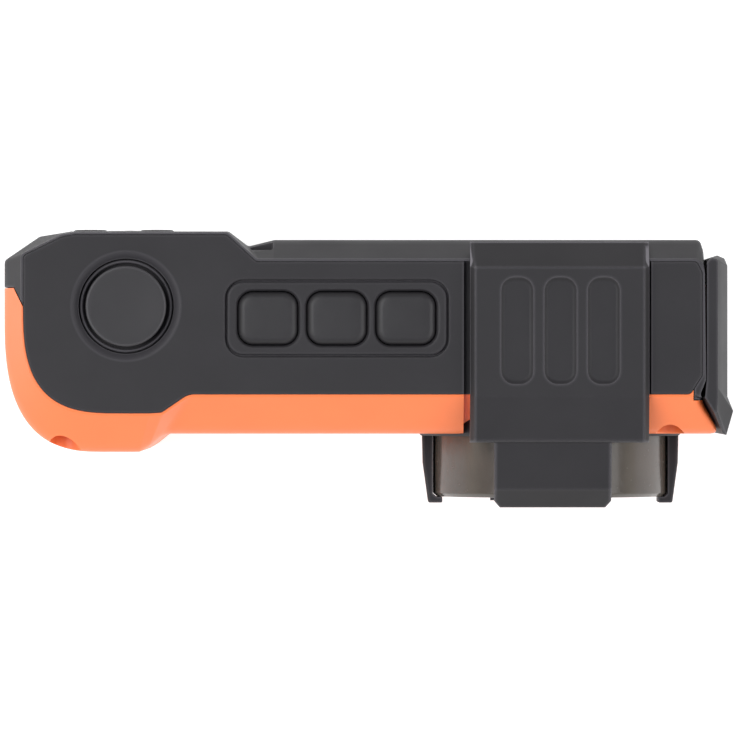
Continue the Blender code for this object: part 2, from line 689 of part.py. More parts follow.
def make_side_frame():
    """The wall behind the side door: hinge lugs, and the mouths of the battery bay, card slot and socket."""
    low, high = (49.2 * MM, -4.4 * MM, 5.6 * MM), (51.4 * MM, 11.9 * MM, 60.7 * MM)
    frame = box("side_frame", low, high, "black_shell")
    for foot, head in LUG_SPANS:
        arm = box("arm", (50.9 * MM, HINGE_Y - 1.5 * MM, foot), (HINGE_X, HINGE_Y + 0.9 * MM, head))
        knuckle = cylinder("knuckle", 1.5 * MM, foot, head, None, 20, centre=(HINGE_X, HINGE_Y, 0))
        join(frame, join(arm, knuckle))
    return cut(
        frame,
        cylinder("pin_hole", 0.85 * MM, 0, 70 * MM, None, 16, centre=(HINGE_X, HINGE_Y, 0)),
        box("battery_mouth", (40 * MM, 0.1 * MM, 9.7 * MM), (60 * MM, 6.6 * MM, 42.9 * MM)),
        box("card_mouth", (40 * MM, -0.9 * MM, 44.0 * MM), (60 * MM, 0.7 * MM, 56.1 * MM)),
        box("socket_mouth", (40 * MM, 2.5 * MM, 44.8 * MM), (60 * MM, 6.3 * MM, 54.3 * MM)),
    )


def door_outline():
    """The door's plan, anticlockwise from the foot of its nose. Its rear end is round about the hinge."""
    nose = [(54.45, -14.9), (54.95, -15.1), (56.0, -11.4), (55.1, -9.2)]
    rear = []
    for k in range(5):
        angle = math.radians(180) * k / 4
        rear.append((HINGE_X / MM + 1.6 * math.cos(angle), HINGE_Y / MM + 1.6 * math.sin(angle)))
    return nose + rear + [(51.8, -6.6), (50.65, -9.1)]


def door_top_outline():
    """The door's plan at the top of its sloping upper edge, point for point with door_outline."""
    nose = [(52.9, -11.7), (53.3, -11.4), (53.4, -9.6), (53.4, -7.8)]
    rear = [(53.4, 11.6), (53.2, 11.9), (52.7, 12.0), (52.2, 11.9), (51.75, 11.5)]
    return nose + rear + [(51.7, -6.6), (51.45, -9.3)]


def make_side_door():
    outline = [(x * MM, y * MM) for x, y in door_outline()]
    top = [(x * MM, y * MM) for x, y in door_top_outline()]
    door = loft("side_door", [
        at_height(outline, DOOR_BOTTOM_Z),
        at_height(outline, 60.2 * MM), at_height(top, DOOR_TOP_Z),
    ], "black_shell")
    for foot, head in LUG_SPANS:
        cut(door, box("notch", (50 * MM, HINGE_Y - 2.0 * MM, foot - GAP), (60 * MM, 20 * MM, head + GAP)))
    cut(
        door,
        cylinder("pin_hole", 0.85 * MM, 0, 54 * MM, None, 16, centre=(HINGE_X, HINGE_Y, 0)),
        box("seal_pocket", (50 * MM, -4.0 * MM, 6.2 * MM), (53.4 * MM, 8.4 * MM, 60.4 * MM)),
        box("latch_recess", (53.9 * MM, -8.2 * MM, 25 * MM), (60 * MM, -4.4 * MM, 43 * MM)),
        box("latch_slot", (50 * MM, -7.3 * MM, 27 * MM), (60 * MM, -5.3 * MM, 41 * MM)),
    )
    return put_origin(door, (HINGE_X, HINGE_Y, 0))


def make_door_fittings():
    cylinder("door_hinge_pin", 0.7 * MM, 6.0 * MM, 53.7 * MM, "steel", 16, centre=(HINGE_X, HINGE_Y, 0))
    seal = box("door_seal", (51.75 * MM, -3.7 * MM, 6.5 * MM), (53.1 * MM, 8.1 * MM, 60.1 * MM), "seal")
    cut(seal, box("inside", (50 * MM, -2.3 * MM, 7.9 * MM), (60 * MM, 6.7 * MM, 58.7 * MM)))
    put_origin(seal, (HINGE_X, HINGE_Y, 0))
    low, high = (54.2 * MM, -7.9 * MM, 26.0 * MM), (55.0 * MM, -4.7 * MM, 37.0 * MM)
    latch = box("door_latch", low, high, "black_key")
    for step in range(5):
        z = (28.5 + 1.5 * step) * MM
        cut(latch, box("groove", (54.75 * MM, -9 * MM, z - 0.3 * MM), (56 * MM, -3 * MM, z + 0.3 * MM)))
    join(latch, box("tongue", (52.2 * MM, -7.0 * MM, 28.0 * MM), (54.4 * MM, -5.6 * MM, 35.0 * MM)))
    put_origin(latch, (54.2 * MM, -6.3 * MM, 31.5 * MM))


# ---------------------------------------------------------------- inside


def make_inside():
    low, high = (8.0 * MM, -0.8 * MM, 8.9 * MM), (48.8 * MM, 7.4 * MM, 43.7 * MM)
    cradle = box("battery_cradle", low, high, "component")
    cut(cradle, box("bay", (9.0 * MM, 0.1 * MM, 9.7 * MM), (60 * MM, 6.6 * MM, 42.9 * MM)))
    low, high = (9.6 * MM, 0.4 * MM, 10.0 * MM), (48.4 * MM, 6.3 * MM, 42.6 * MM)
    box("battery", low, high, "battery_wrap", 0.6 * MM)
    box("main_board", (-26 * MM, 7.8 * MM, 9 * MM), (43.3 * MM, 8.8 * MM, 57 * MM), "circuit")
    box("processor", (-6 * MM, 9.1 * MM, 24 * MM), (8 * MM, 9.9 * MM, 38 * MM), "steel")
    box("io_board", (30 * MM, 1.2 * MM, 44.0 * MM), (48.8 * MM, 2.1 * MM, 56.1 * MM), "circuit")
    socket = box("usb_socket", (41 * MM, 2.8 * MM, 45.1 * MM), (51.3 * MM, 6.0 * MM, 54.0 * MM), "steel")
    cut(socket, box("mouth", (43 * MM, 3.15 * MM, 45.45 * MM), (60 * MM, 5.65 * MM, 53.65 * MM)))
    join(socket, box("tongue", (42 * MM, 4.05 * MM, 46.5 * MM), (50.4 * MM, 4.75 * MM, 52.6 * MM)))
    holder = box("card_socket", (33.5 * MM, -0.9 * MM, 44.0 * MM), (48.8 * MM, 0.9 * MM, 56.1 * MM), "steel")
    cut(holder, box("slot", (34.5 * MM, -0.6 * MM, 44.3 * MM), (60 * MM, 0.4 * MM, 55.8 * MM)))
    box("memory_card", (35.2 * MM, -0.45 * MM, 44.6 * MM), (50.2 * MM, 0.25 * MM, 55.5 * MM), "component")


def make_front_fittings():
    flash = facing_front(FLASH_X, 0, FLASH_Z)
    plate("flash_window", 12.0 * MM, 6.0 * MM, 1.4 * MM, 14.8 * MM, flash, "glass", back=-13.5 * MM)
    plate("flash_lamp", 11.0 * MM, 5.0 * MM, 0.8 * MM, 12.9 * MM, flash, "component", back=-10.6 * MM)
    profile = [(0, 9.6), (6.5, 9.6), (7.6, 10.6), (7.6, 12.7), (0, 12.7)]
    speaker = mm_turned("speaker", profile, "component", 32, (0, 0, 0))
    moved(speaker, Matrix.Translation((SPEAKER_X, 0, SPEAKER_Z)) @ ALONG_Y)
    mm_turned("tripod_bush", [
        (2.65, 0.3), (4.7, 0.3), (4.7, 2.1), (6.2, 2.1), (6.2, 3.2), (4.7, 3.2), (4.7, 7.0), (0, 7.0),
        (0, 6.2), (2.65, 6.2),
    ], "brass", 24, (TRIPOD_X, 0, 0))
    for number, (x, z) in enumerate(FRONT_SCREWS, 1):
        head = SCREW_SEAT / MM + 0.2
        screw = mm_turned(f"front_screw_{number}", [
            (0, -3.0), (0.85, -3.0), (0.85, head), (1.85, head), (1.85, head + 1.0), (1.45, head + 1.4),
            (0, head + 1.4),
        ], "steel", 16, (0, 0, 0))
        moved(screw, Matrix.Translation((x, 0, z)) @ ALONG_Y)
        hexagon = cylinder("hexagon", 0.75 * MM, (head + 0.6) * MM, 15 * MM, None, 6, ALONG_Y, (x, 0, z))
        cut(screw, hexagon)


def make_grip_pad():
    """The rubber insert on the front of the grip, with three upright grooves."""
    place = facing_front(GRIP_PAD_X, 0, GRIP_PAD_Z)
    pad = plate("grip_pad", 11.0 * MM, 40.0 * MM, 2.7 * MM, 17.3 * MM, place, "rubber", back=-16.8 * MM)
    for step in (-1, 0, 1):
        groove_place = facing_front(GRIP_PAD_X + step * 3.4 * MM, 0, GRIP_PAD_Z)
        cut(pad, plate("groove", 1.8 * MM, 33 * MM, 0.85 * MM, 20 * MM, groove_place, back=-17.05 * MM))
    return pad


# ---------------------------------------------------------------- the camera


def clear_scene():
    for obj in list(bpy.data.objects):
        bpy.data.objects.remove(obj)


def make_camera():
    clear_scene()
    make_front_cover()
    make_rear_cover()
    make_top_panel()
    make_top_bracket()
    make_strap_bar()
    make_lens_guard()
    make_lens()
    make_top_keys()
    make_shutter()
    make_top_board()
    make_rear_keys()
    make_screen()
    make_side_frame()
    make_side_door()
    make_door_fittings()
    make_inside()
    make_front_fittings()
    make_grip_pad()


make_camera()
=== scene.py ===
"""The looks of a rugged waterproof action camera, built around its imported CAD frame.

Lengths are in metres, in the frame of the CAD: +Z up, the lens towards -Y, the grip at -X.
"""

import json
import math

import bmesh
import bpy
from mathutils import Matrix, Vector


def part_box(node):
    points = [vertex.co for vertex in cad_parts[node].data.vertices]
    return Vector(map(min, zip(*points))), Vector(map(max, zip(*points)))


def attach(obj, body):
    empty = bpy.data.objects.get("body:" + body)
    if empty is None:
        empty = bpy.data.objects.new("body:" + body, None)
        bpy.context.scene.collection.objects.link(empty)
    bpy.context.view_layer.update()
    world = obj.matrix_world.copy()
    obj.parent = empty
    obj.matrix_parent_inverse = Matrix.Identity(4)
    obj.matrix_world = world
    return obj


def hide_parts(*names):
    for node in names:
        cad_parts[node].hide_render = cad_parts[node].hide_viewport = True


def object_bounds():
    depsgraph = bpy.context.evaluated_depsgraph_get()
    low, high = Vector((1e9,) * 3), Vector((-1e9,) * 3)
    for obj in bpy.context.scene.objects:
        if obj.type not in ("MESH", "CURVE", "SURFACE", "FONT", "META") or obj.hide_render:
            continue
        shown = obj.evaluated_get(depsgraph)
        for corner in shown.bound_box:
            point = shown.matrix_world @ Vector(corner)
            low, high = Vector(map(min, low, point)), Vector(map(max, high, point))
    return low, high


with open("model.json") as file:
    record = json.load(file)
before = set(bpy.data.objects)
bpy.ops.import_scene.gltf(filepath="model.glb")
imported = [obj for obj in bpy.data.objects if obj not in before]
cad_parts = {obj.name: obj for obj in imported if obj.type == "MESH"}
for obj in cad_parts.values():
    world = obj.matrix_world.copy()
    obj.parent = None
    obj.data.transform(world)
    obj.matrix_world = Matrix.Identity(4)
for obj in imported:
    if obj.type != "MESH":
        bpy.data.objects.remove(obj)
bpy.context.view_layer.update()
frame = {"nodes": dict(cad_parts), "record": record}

MM = 0.001
RECORD = frame["record"]
BODY_OF = {node: body for body, nodes in RECORD["behaviour"]["bodies"].items() for node in nodes}
SLOT_OF = {part["node"]: part["material_slot"] for part in RECORD["subparts"]}
ALONG_Y = Matrix.Rotation(math.radians(90), 4, "X")  # a turned part's own Z faces forward, to -Y
UPRIGHT = Matrix.Identity(4)
FAR = 0.1  # beyond the object on every side
PAST = 8 * MM  # how far a cutter goes on past the face that it opens


def centre_of(node):
    low, high = (Vector(corner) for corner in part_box(node))
    return (low + high) / 2


def size_of(node):
    low, high = (Vector(corner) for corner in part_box(node))
    return high - low


# Driving dimensions, from the frame
LENS = centre_of("lens_barrel")
LENS_AXIS = (LENS.x, 0, LENS.z)
SHUTTER = centre_of("shutter_button")
TOP_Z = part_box("top_panel")[1][2]
RIM_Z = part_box("front_cover")[1][2]
SHOULDER_Z = RIM_Z - 5.7 * MM
WALL = 1.8 * MM
FRONT_Y = -14.9 * MM
REAR_Y = 14.9 * MM
GRIP_FRONT_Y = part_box("front_cover")[0][1]
GRIP_REAR_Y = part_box("rear_cover")[1][1]
SPLIT_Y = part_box("front_cover")[1][1]
END_WALL = (49.75 * MM, -9.7 * MM)  # X and Y of the corner where the rear cover's end wall starts
SEAM = 0.15 * MM  # the joint line between the covers
SCREW_SEAT = -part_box("front_screw_1")[0][1] - 1.6 * MM  # floor of a screw's recess, forward of the origin
BRACKET = centre_of("top_bracket")
BRACKET_WIDTH = size_of("top_bracket").x
GROOVE_WIDTH = 0.95 * MM  # the gap along the bridge's left face
BEZEL_FLANGES = 2.4 * MM  # how much narrower than the CAD's key frame the frame is above its flange
REAR_KEY_FLANGES = 1.1 * MM  # the same for a rear key's cap
KEYS = ("function_key_1", "function_key_2", "function_key_3")
REAR_KEYS = (
    "zoom_in_key", "zoom_out_key", "up_key", "down_key", "left_key", "right_key", "confirm_key",
    "menu_key", "playback_key",
)
FRONT_SCREWS = tuple(f"front_screw_{number}" for number in (1, 2, 3, 4))


# ---------------- shape helpers


def linked(name, data):
    """An object of the scene that holds the data."""
    obj = bpy.data.objects.new(name, data)
    bpy.context.scene.collection.objects.link(obj)
    return obj


def new_object(name, bm):
    """An object holding the bmesh, with its normals facing out."""
    bmesh.ops.recalc_face_normals(bm, faces=bm.faces)
    mesh = bpy.data.meshes.new(name)
    bm.to_mesh(mesh)
    bm.free()
    return linked(name, mesh)


def smooth(obj, degrees=35):
    """Smooth shading with creases above the angle. Large faces keep their own direction up to their edges."""
    obj.data.shade_smooth()
    obj.data.set_sharp_from_angle(angle=math.radians(degrees))
    weighted = obj.modifiers.new("even_normals", "WEIGHTED_NORMAL")
    weighted.keep_sharp = True
    return applied(obj)


def moved(obj, matrix):
    obj.data.transform(matrix)
    if matrix.determinant() < 0:
        obj.data.flip_normals()
    return obj


def loft(name, rings):
    """A closed solid through rings of equal point counts, capped at both ends."""
    bm = bmesh.new()
    levels = [[bm.verts.new(point) for point in ring] for ring in rings]
    count = len(rings[0])
    for lower, upper in zip(levels, levels[1:]):
        for i in range(count):
            j = (i + 1) % count
            bm.faces.new((lower[i], lower[j], upper[j], upper[i]))
    bm.faces.new(levels[0][::-1])
    bm.faces.new(levels[-1])
    return new_object(name, bm)


def prism(name, outline, low, high):
    return loft(name, [at_height(outline, low), at_height(outline, high)])


def at_height(outline, z):
    return [Vector((x, y, z)) for x, y in outline]


def in_metres(points):
    return [(a * MM, b * MM) for a, b in points]


def quarter_round(steps, first=0):
    """A quarter round in steps, as shares of its radius: how far in, and how far below the top."""
    angles = [math.radians(90) * k / steps for k in range(first, steps + 1)]
    return [(1 - math.cos(angle), 1 - math.sin(angle)) for angle in angles]


def box(name, low, high, bevel=0.0, segments=3):
    """A box between two corners, with its edges rounded."""
    bm = bmesh.new()
    bmesh.ops.create_cube(bm, size=1.0)
    bmesh.ops.scale(bm, vec=[b - a for a, b in zip(low, high)], verts=bm.verts)
    if bevel:
        bmesh.ops.bevel(bm, geom=bm.edges, offset=bevel, segments=segments, profile=0.5, affect="EDGES")
    bmesh.ops.translate(bm, vec=[(a + b) / 2 for a, b in zip(low, high)], verts=bm.verts)
    return new_object(name, bm)


def turned(name, profile, segments, turn, centre):
    """A solid of revolution about Z, turned and moved. The profile is a closed loop of (radius, height)."""
    bm = bmesh.new()
    on_axis = {}
    rings = []
    for k in range(segments):
        angle = 2 * math.pi * (k + 0.5) / segments
        ring = []
        for i, (r, h) in enumerate(profile):
            if r < 1e-7:
                if i not in on_axis:
                    on_axis[i] = bm.verts.new((0, 0, h))
                ring.append(on_axis[i])
            else:
                ring.append(bm.verts.new((r * math.cos(angle), r * math.sin(angle), h)))
        rings.append(ring)
    for ring, following in zip(rings, rings[1:] + rings[:1]):
        for i in range(len(profile)):
            j = (i + 1) % len(profile)
            corners = list(dict.fromkeys((ring[i], following[i], following[j], ring[j])))
            if len(corners) > 2:
                bm.faces.new(corners)
    return moved(new_object(name, bm), Matrix.Translation(centre) @ turn)


def rod(name, radius, low, high, segments, turn, centre):
    return turned(name, [(0, low), (radius, low), (radius, high), (0, high)], segments, turn, centre)


def rounded(points, radii, steps):
    """The outline with its corners rounded. radii has one radius for each corner, or 0 for a plain point."""
    made = []
    for i, radius in enumerate(radii):
        corner = Vector(points[i])
        if not radius:
            made.append(corner)
            continue
        before = Vector(points[i - 1]) - corner
        after = Vector(points[(i + 1) % len(points)]) - corner
        half = max(before.angle(after) / 2, 0.01)
        room = 0.45 * min(before.length, after.length)
        reach = max(min(radius / math.tan(half), room), 1e-6)
        start = corner + before.normalized() * reach
        end = corner + after.normalized() * reach
        for k in range(steps + 1):
            t = k / steps
            made.append(start * (1 - t) ** 2 + corner * (2 * t * (1 - t)) + end * t ** 2)
    return made


def rounded_rectangle(width, height, radius, steps=8, centre=(0, 0)):
    x, y = width / 2, height / 2
    cx, cy = centre
    points = []
    for quarter in range(4):
        sign_x = 1 if quarter in (0, 3) else -1
        sign_y = 1 if quarter in (0, 1) else -1
        for k in range(steps + 1):
            angle = math.radians(90) * (quarter + k / steps)
            points.append(Vector((
                cx + sign_x * (x - radius) + radius * math.cos(angle),
                cy + sign_y * (y - radius) + radius * math.sin(angle),
            )))
    return points


def rectangle_at(z, width, height, radius, steps=8, centre=(0, 0)):
    """A ring at the height z: a rectangle with round corners."""
    return at_height(rounded_rectangle(width, height, radius, steps, centre), z)


def rolled_edge(top, roll, width, height, radius, steps):
    """Rings round the top edge of a block with round corners, whose edge has the radius roll."""
    rings = []
    for inset, lower in quarter_round(steps):
        inset *= roll
        corner = max(radius - inset, 0.35 * MM)
        rings.append(rectangle_at(top - roll * lower, width - 2 * inset, height - 2 * inset, corner))
    return rings


def offset(outline, distance):
    """The anticlockwise outline moved outwards by distance, with mitred corners."""
    made = []
    for i, point in enumerate(outline):
        before = Vector(point) - Vector(outline[i - 1])
        after = Vector(outline[(i + 1) % len(outline)]) - Vector(point)
        n1 = Vector((before.y, -before.x)).normalized()
        n2 = Vector((after.y, -after.x)).normalized()
        made.append(Vector(point) + (n1 + n2) * (distance / (1 + n1.dot(n2))))
    return made


def combine(target, others, operation):
    """A Boolean of the target with each of the others in turn. The others are removed."""
    for other in others:
        modifier = target.modifiers.new("combined", "BOOLEAN")
        modifier.operation = operation
        modifier.object = other
        applied(target)
        bpy.data.meshes.remove(other.data)
    return target


def cut(target, *cutters):
    return combine(target, cutters, "DIFFERENCE")


def join(target, *others):
    return combine(target, others, "UNION")


def facing_rear(x, y, z):
    """Carries an outline's XY plane to the XZ plane, with its extrusion towards +Y."""
    return Matrix.Translation((x, y, z)) @ Matrix.Rotation(math.radians(-90), 4, "X")


def facing_front(x, y, z):
    """Carries an outline's XY plane to the XZ plane, with its extrusion towards -Y."""
    return Matrix.Translation((x, y, z)) @ ALONG_Y


def flared(name, width, height, radius, bottom, mouth, place, flare=0.25 * MM, steps=6):
    """A cutter with round corners, whose mouth opens out by flare over its last stretch."""
    levels = [(0.0, bottom), (0.0, mouth - flare)]
    levels += [(flare * grown, mouth - flare * lower) for grown, lower in quarter_round(3, 1)]
    levels.append((flare, mouth + PAST))
    rings = []
    for grown, z in levels:
        rings.append(rectangle_at(z, width + 2 * grown, height + 2 * grown, radius + grown, steps))
    return moved(loft(name, rings), place)


def flared_hole(name, radius, bottom, mouth, turn, centre, flare=0.25 * MM, segments=64):
    """A round cutter whose mouth opens out by flare."""
    profile = [(0, bottom), (radius, bottom), (radius, mouth - flare)]
    profile += [(radius + flare * grown, mouth - flare * lower) for grown, lower in quarter_round(3, 1)]
    profile += [(radius + flare, mouth + PAST), (0, mouth + PAST)]
    return turned(name, profile, segments, turn, centre)


def refined(node, width, segments, degrees):
    """A copy of a CAD node's shape with its flat faces merged and its edges above the angle rounded."""
    bm = bmesh.new()
    bm.from_mesh(frame["nodes"][node].data)
    bm.transform(frame["nodes"][node].matrix_world)
    bmesh.ops.remove_doubles(bm, verts=bm.verts, dist=1e-6)
    bmesh.ops.dissolve_limit(bm, angle_limit=math.radians(0.6), verts=bm.verts, edges=bm.edges)
    obj = new_object(f"{node}_skin", bm)
    bevel = obj.modifiers.new("rounding", "BEVEL")
    bevel.width = width
    bevel.segments = segments
    bevel.limit_method = "ANGLE"
    bevel.angle_limit = math.radians(degrees)
    bevel.use_clamp_overlap = True
    return smooth(applied(obj), degrees)


def applied(obj):
    """The object with its modifiers applied to its mesh."""
    graph = bpy.context.evaluated_depsgraph_get()
    made = bpy.data.meshes.new_from_object(obj.evaluated_get(graph))
    obj.modifiers.clear()
    old = obj.data
    obj.data = made
    bpy.data.meshes.remove(old)
    return obj


def stands_for(piece, node, material, *more_nodes):
    """The piece replaces the CAD node: it rides on its body and takes the material."""
    piece.data.materials.clear()
    piece.data.materials.append(material)
    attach(piece, BODY_OF[node])
    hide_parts(node, *more_nodes)
    return piece


def detail_on(piece, node, material):
    """An added piece that rides with the CAD node's body and replaces nothing."""
    piece.data.materials.clear()
    piece.data.materials.append(material)
    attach(piece, BODY_OF[node])
    return piece


# ---------------- materials


class Nodes:
    """The node tree of a material or a world, with short calls to add and link nodes."""

    def __init__(self, name, kind="materials", shader="Principled BSDF", place="Object"):
        self.owner = getattr(bpy.data, kind).new(name)
        self.owner.use_nodes = True
        self.tree = self.owner.node_tree
        self.shader = self.tree.nodes[shader]
        self.place = self.add("ShaderNodeTexCoord").outputs[place]

    def add(self, kind, inputs=None, **values):
        """A new node. inputs gives each input, by its name or number, a value or a socket to link."""
        node = self.tree.nodes.new(kind)
        for key, value in values.items():
            setattr(node, key, value)
        for key, value in (inputs or {}).items():
            if isinstance(value, bpy.types.NodeSocket):
                self.link(value, node.inputs[key])
            else:
                node.inputs[key].default_value = value
        return node

    def link(self, source, target):
        self.tree.links.new(source, target)

    def noise(self, size, detail, stretch=(1, 1, 1)):
        """Noise whose features are about size metres across, stretched along the axes."""
        scaled = self.add("ShaderNodeMapping", {"Scale": [1 / s for s in stretch], "Vector": self.place})
        inputs = {"Scale": 1 / size, "Detail": detail, "Vector": scaled.outputs["Vector"]}
        return self.add("ShaderNodeTexNoise", inputs).outputs["Fac"]

    def cells(self, size):
        return self.add("ShaderNodeTexVoronoi", {"Scale": 1 / size, "Vector": self.place}).outputs["Distance"]

    def spread(self, value, low_in, high_in, low_out, high_out):
        return self.add("ShaderNodeMapRange", {
            "Value": value, "From Min": low_in, "From Max": high_in, "To Min": low_out, "To Max": high_out,
        }).outputs["Result"]

    def varied(self, noise, low, high):
        """A value that goes from low to high over the noise's usual range."""
        return self.spread(noise, 0.3, 0.7, low, high)

    def mix(self, factor, first, second):
        """A colour mix. Each colour is a triple or a socket."""
        mix = self.add("ShaderNodeMix", {"Factor": factor}, data_type="RGBA")
        for key, colour in (("A", first), ("B", second)):
            socket = [s for s in mix.inputs if s.name == key and s.type == "RGBA"][0]
            if isinstance(colour, bpy.types.NodeSocket):
                self.link(colour, socket)
            else:
                socket.default_value = (*colour, 1.0)
        return [s for s in mix.outputs if s.type == "RGBA"][0]

    def blend(self, noise, first, second):
        """A colour mix that follows the noise."""
        return self.mix(self.varied(noise, 0, 1), first, second)

    def bump(self, *layers):
        """Bump from (height socket, depth in metres) layers, laid over each other."""
        inputs = {"Strength": 1.0}
        for height, depth in layers:
            inputs.update({"Distance": depth, "Height": height})
            inputs["Normal"] = self.add("ShaderNodeBump", inputs).outputs["Normal"]
        self.link(inputs["Normal"], self.shader.inputs["Normal"])

    def edges(self, reach):
        """0 on flat and hollow places, 1 along the outer edges."""
        inwards = self.add("ShaderNodeAmbientOcclusion", {"Distance": reach}, inside=True, only_local=True,
                           samples=8)
        return self.spread(inwards.outputs["AO"], 0.95, 0.60, 0.0, 1.0)

    def finish(self, colour, roughness, **values):
        self.link(colour, self.shader.inputs["Base Color"])
        self.link(roughness, self.shader.inputs["Roughness"])
        for key, value in values.items():
            self.shader.inputs[key].default_value = value
        return self.owner


def shade(colour, factor):
    return tuple(c * factor for c in colour)


def moulded_plastic(name, colour, gloss, grain=0.22 * MM, grain_depth=0.006 * MM, mottle=0.06, edge_highlight=2.2,
                    specular=0.5, ring=None, edge_reach=0.45 * MM):
    """Injection-moulded plastic: spark-eroded grain, faint cloudiness, and outer edges painted lighter: a
    little wear, mostly a painted highlight.

    ring is a painted highlight, a lighter ring about a vertical axis: its centre, inner and outer radius.
    """
    n = Nodes(name)
    base = n.blend(n.noise(9 * MM, 3), shade(colour, 1 - mottle), shade(colour, 1 + mottle))
    # Painted highlight with a little wear: the outer edges are painted lighter by the edge factor.
    edge = n.spread(n.edges(edge_reach), 0, 1, 0, 0.8)
    worn_and_highlit = n.mix(edge, base, [min(c * edge_highlight, 1.0) for c in colour])
    rough = n.varied(n.noise(14 * MM, 4), gloss - 0.05, gloss + 0.06)
    n.bump((n.noise(2.2 * MM, 2), 0.012 * MM), (n.noise(grain, 1), grain_depth))
    # Painted highlight: a ring painted lighter where the dish round the shutter would catch light.
    if ring:
        centre, inner, outer = ring
        shifted = n.add("ShaderNodeVectorMath", {0: n.place, 1: centre}, operation="SUBTRACT")
        flat = n.add("ShaderNodeVectorMath", {0: shifted.outputs[0], 1: (1, 1, 0)}, operation="MULTIPLY")
        distance = n.add("ShaderNodeVectorMath", {0: flat.outputs[0]}, operation="LENGTH").outputs["Value"]
        soft = 0.15 * MM
        rise = n.spread(distance, inner - soft, inner + soft, 0, 1)
        fall = n.spread(distance, outer - soft, outer + soft, 0, 1)
        worn_and_highlit = n.mix(rise, worn_and_highlit, n.mix(fall, shade(colour, 1.7), worn_and_highlit))
    return n.finish(worn_and_highlit, rough, **{"Specular IOR Level": specular})


def glossy_housing(name, colour):
    """Polished plastic with very fine turning lines around the lens axis and faint dust."""
    n = Nodes(name)
    base = n.blend(n.noise(7 * MM, 3), shade(colour, 0.9), shade(colour, 1.12))
    rough = n.spread(n.noise(0.9 * MM, 5), 0.45, 0.75, 0.16, 0.30)
    n.bump((n.noise(0.16 * MM, 2, (400, 1, 400)), 0.003 * MM))
    return n.finish(base, rough, **{"Specular IOR Level": 0.5})


def rubber(name, colour, pitch):
    """Matte rubber with a fine pebbled grain."""
    n = Nodes(name)
    pebbles = n.cells(pitch)
    # Painted shade: the pebbles' low borders are painted darker and their raised middles lighter.
    base = n.mix(n.spread(pebbles, 0.0, 0.6, 0, 1), shade(colour, 1.25), shade(colour, 0.75))
    rough = n.varied(n.noise(3 * MM, 3), 0.68, 0.86)
    n.bump((n.noise(1.5 * MM, 2), 0.01 * MM), (pebbles, -0.05 * MM))
    return n.finish(base, rough, **{"Specular IOR Level": 0.3, "Sheen Weight": 0.15})


def clear_glass(name, tint, film=0.0):
    """Glass with faint wiping marks. A film thickness in nanometres gives a coating's colour."""
    n = Nodes(name)
    marks = n.noise(6 * MM, 5, (1, 1, 3))
    base = n.blend(marks, tint, shade(tint, 0.94))
    rough = n.spread(marks, 0.4, 0.75, 0.0, 0.035)
    values = {"Transmission Weight": 1.0, "IOR": 1.5}
    if film:
        values.update({"Thin Film Thickness": film, "Thin Film IOR": 1.9})
    return n.finish(base, rough, **values)


def screen_glass(name, low, high):
    """A screen's cover: black ink round the border, and a dim panel behind the glass inside it."""
    n = Nodes(name)
    split = n.add("ShaderNodeSeparateXYZ", {0: n.place})
    border, soft = 3.6 * MM, 0.05 * MM
    sides = []
    for axis, key in ((0, "X"), (2, "Z")):
        for bound, sign in ((low[axis] + border, 1), (high[axis] - border, -1)):
            sides.append(n.spread(split.outputs[key], bound - soft * sign, bound + soft * sign, 0, 1))
    inside = sides[0]
    for side in sides[1:]:
        inside = n.add("ShaderNodeMath", {0: inside, 1: side}, operation="MULTIPLY").outputs[0]
    smear = n.noise(12 * MM, 4, (1, 1, 2.5))
    panel = n.blend(smear, (0.010, 0.011, 0.014), (0.014, 0.016, 0.020))
    base = n.mix(inside, (0.003, 0.003, 0.0032), panel)
    rough = n.spread(smear, 0.4, 0.8, 0.03, 0.12)
    return n.finish(base, rough, **{"Coat Weight": 1.0, "Coat Roughness": 0.03, "Specular IOR Level": 0.6})


def metal(name, colour, gloss, stretch=(1, 1, 40)):
    """Worked metal with fine lines along the stretched axis and slight staining."""
    n = Nodes(name)
    lines = n.noise(0.3 * MM, 3, stretch)
    base = n.blend(n.noise(4 * MM, 4), shade(colour, 0.86), colour)
    n.bump((lines, 0.004 * MM))
    return n.finish(base, n.varied(lines, gloss - 0.06, gloss + 0.12), Metallic=1.0)


def circuit_board(name):
    """Green solder mask over copper traces, with plated dots."""
    n = Nodes(name)
    turn = n.add("ShaderNodeMapping", {"Rotation": (math.radians(90), 0, 0), "Vector": n.place})
    brick = n.add("ShaderNodeTexBrick", {
        "Scale": 1 / (2.4 * MM), "Mortar Size": 0.09, "Vector": turn.outputs["Vector"],
        "Color1": (0.012, 0.115, 0.045, 1), "Color2": (0.016, 0.150, 0.055, 1),
        "Mortar": (0.030, 0.230, 0.090, 1),
    })
    dots = n.spread(n.cells(2.1 * MM), 0.0, 0.16, 1, 0)
    base = n.mix(dots, brick.outputs["Color"], (0.55, 0.50, 0.38))
    n.bump((brick.outputs["Fac"], 0.03 * MM))
    return n.finish(base, n.varied(n.noise(3 * MM, 3), 0.28, 0.42))


def printed_sleeve(name):
    """A battery's printed film: a pale field between two darker bands, slightly wrinkled."""
    n = Nodes(name)
    split = n.add("ShaderNodeSeparateXYZ", {0: n.place})
    low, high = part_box("battery")
    band, soft = 5 * MM, 0.1 * MM
    field = (0.30, 0.36, 0.45)
    for edge, sign in ((high[2] - band, 1), (low[2] + band, -1)):
        beyond = n.spread(split.outputs["Z"], edge, edge + sign * soft, 0, 1)
        field = n.mix(beyond, field, (0.03, 0.07, 0.16))
    wrinkle = n.noise(3 * MM, 4, (4, 1, 1))
    n.bump((wrinkle, 0.05 * MM))
    return n.finish(field, n.varied(wrinkle, 0.25, 0.4), **{"Coat Weight": 0.3})


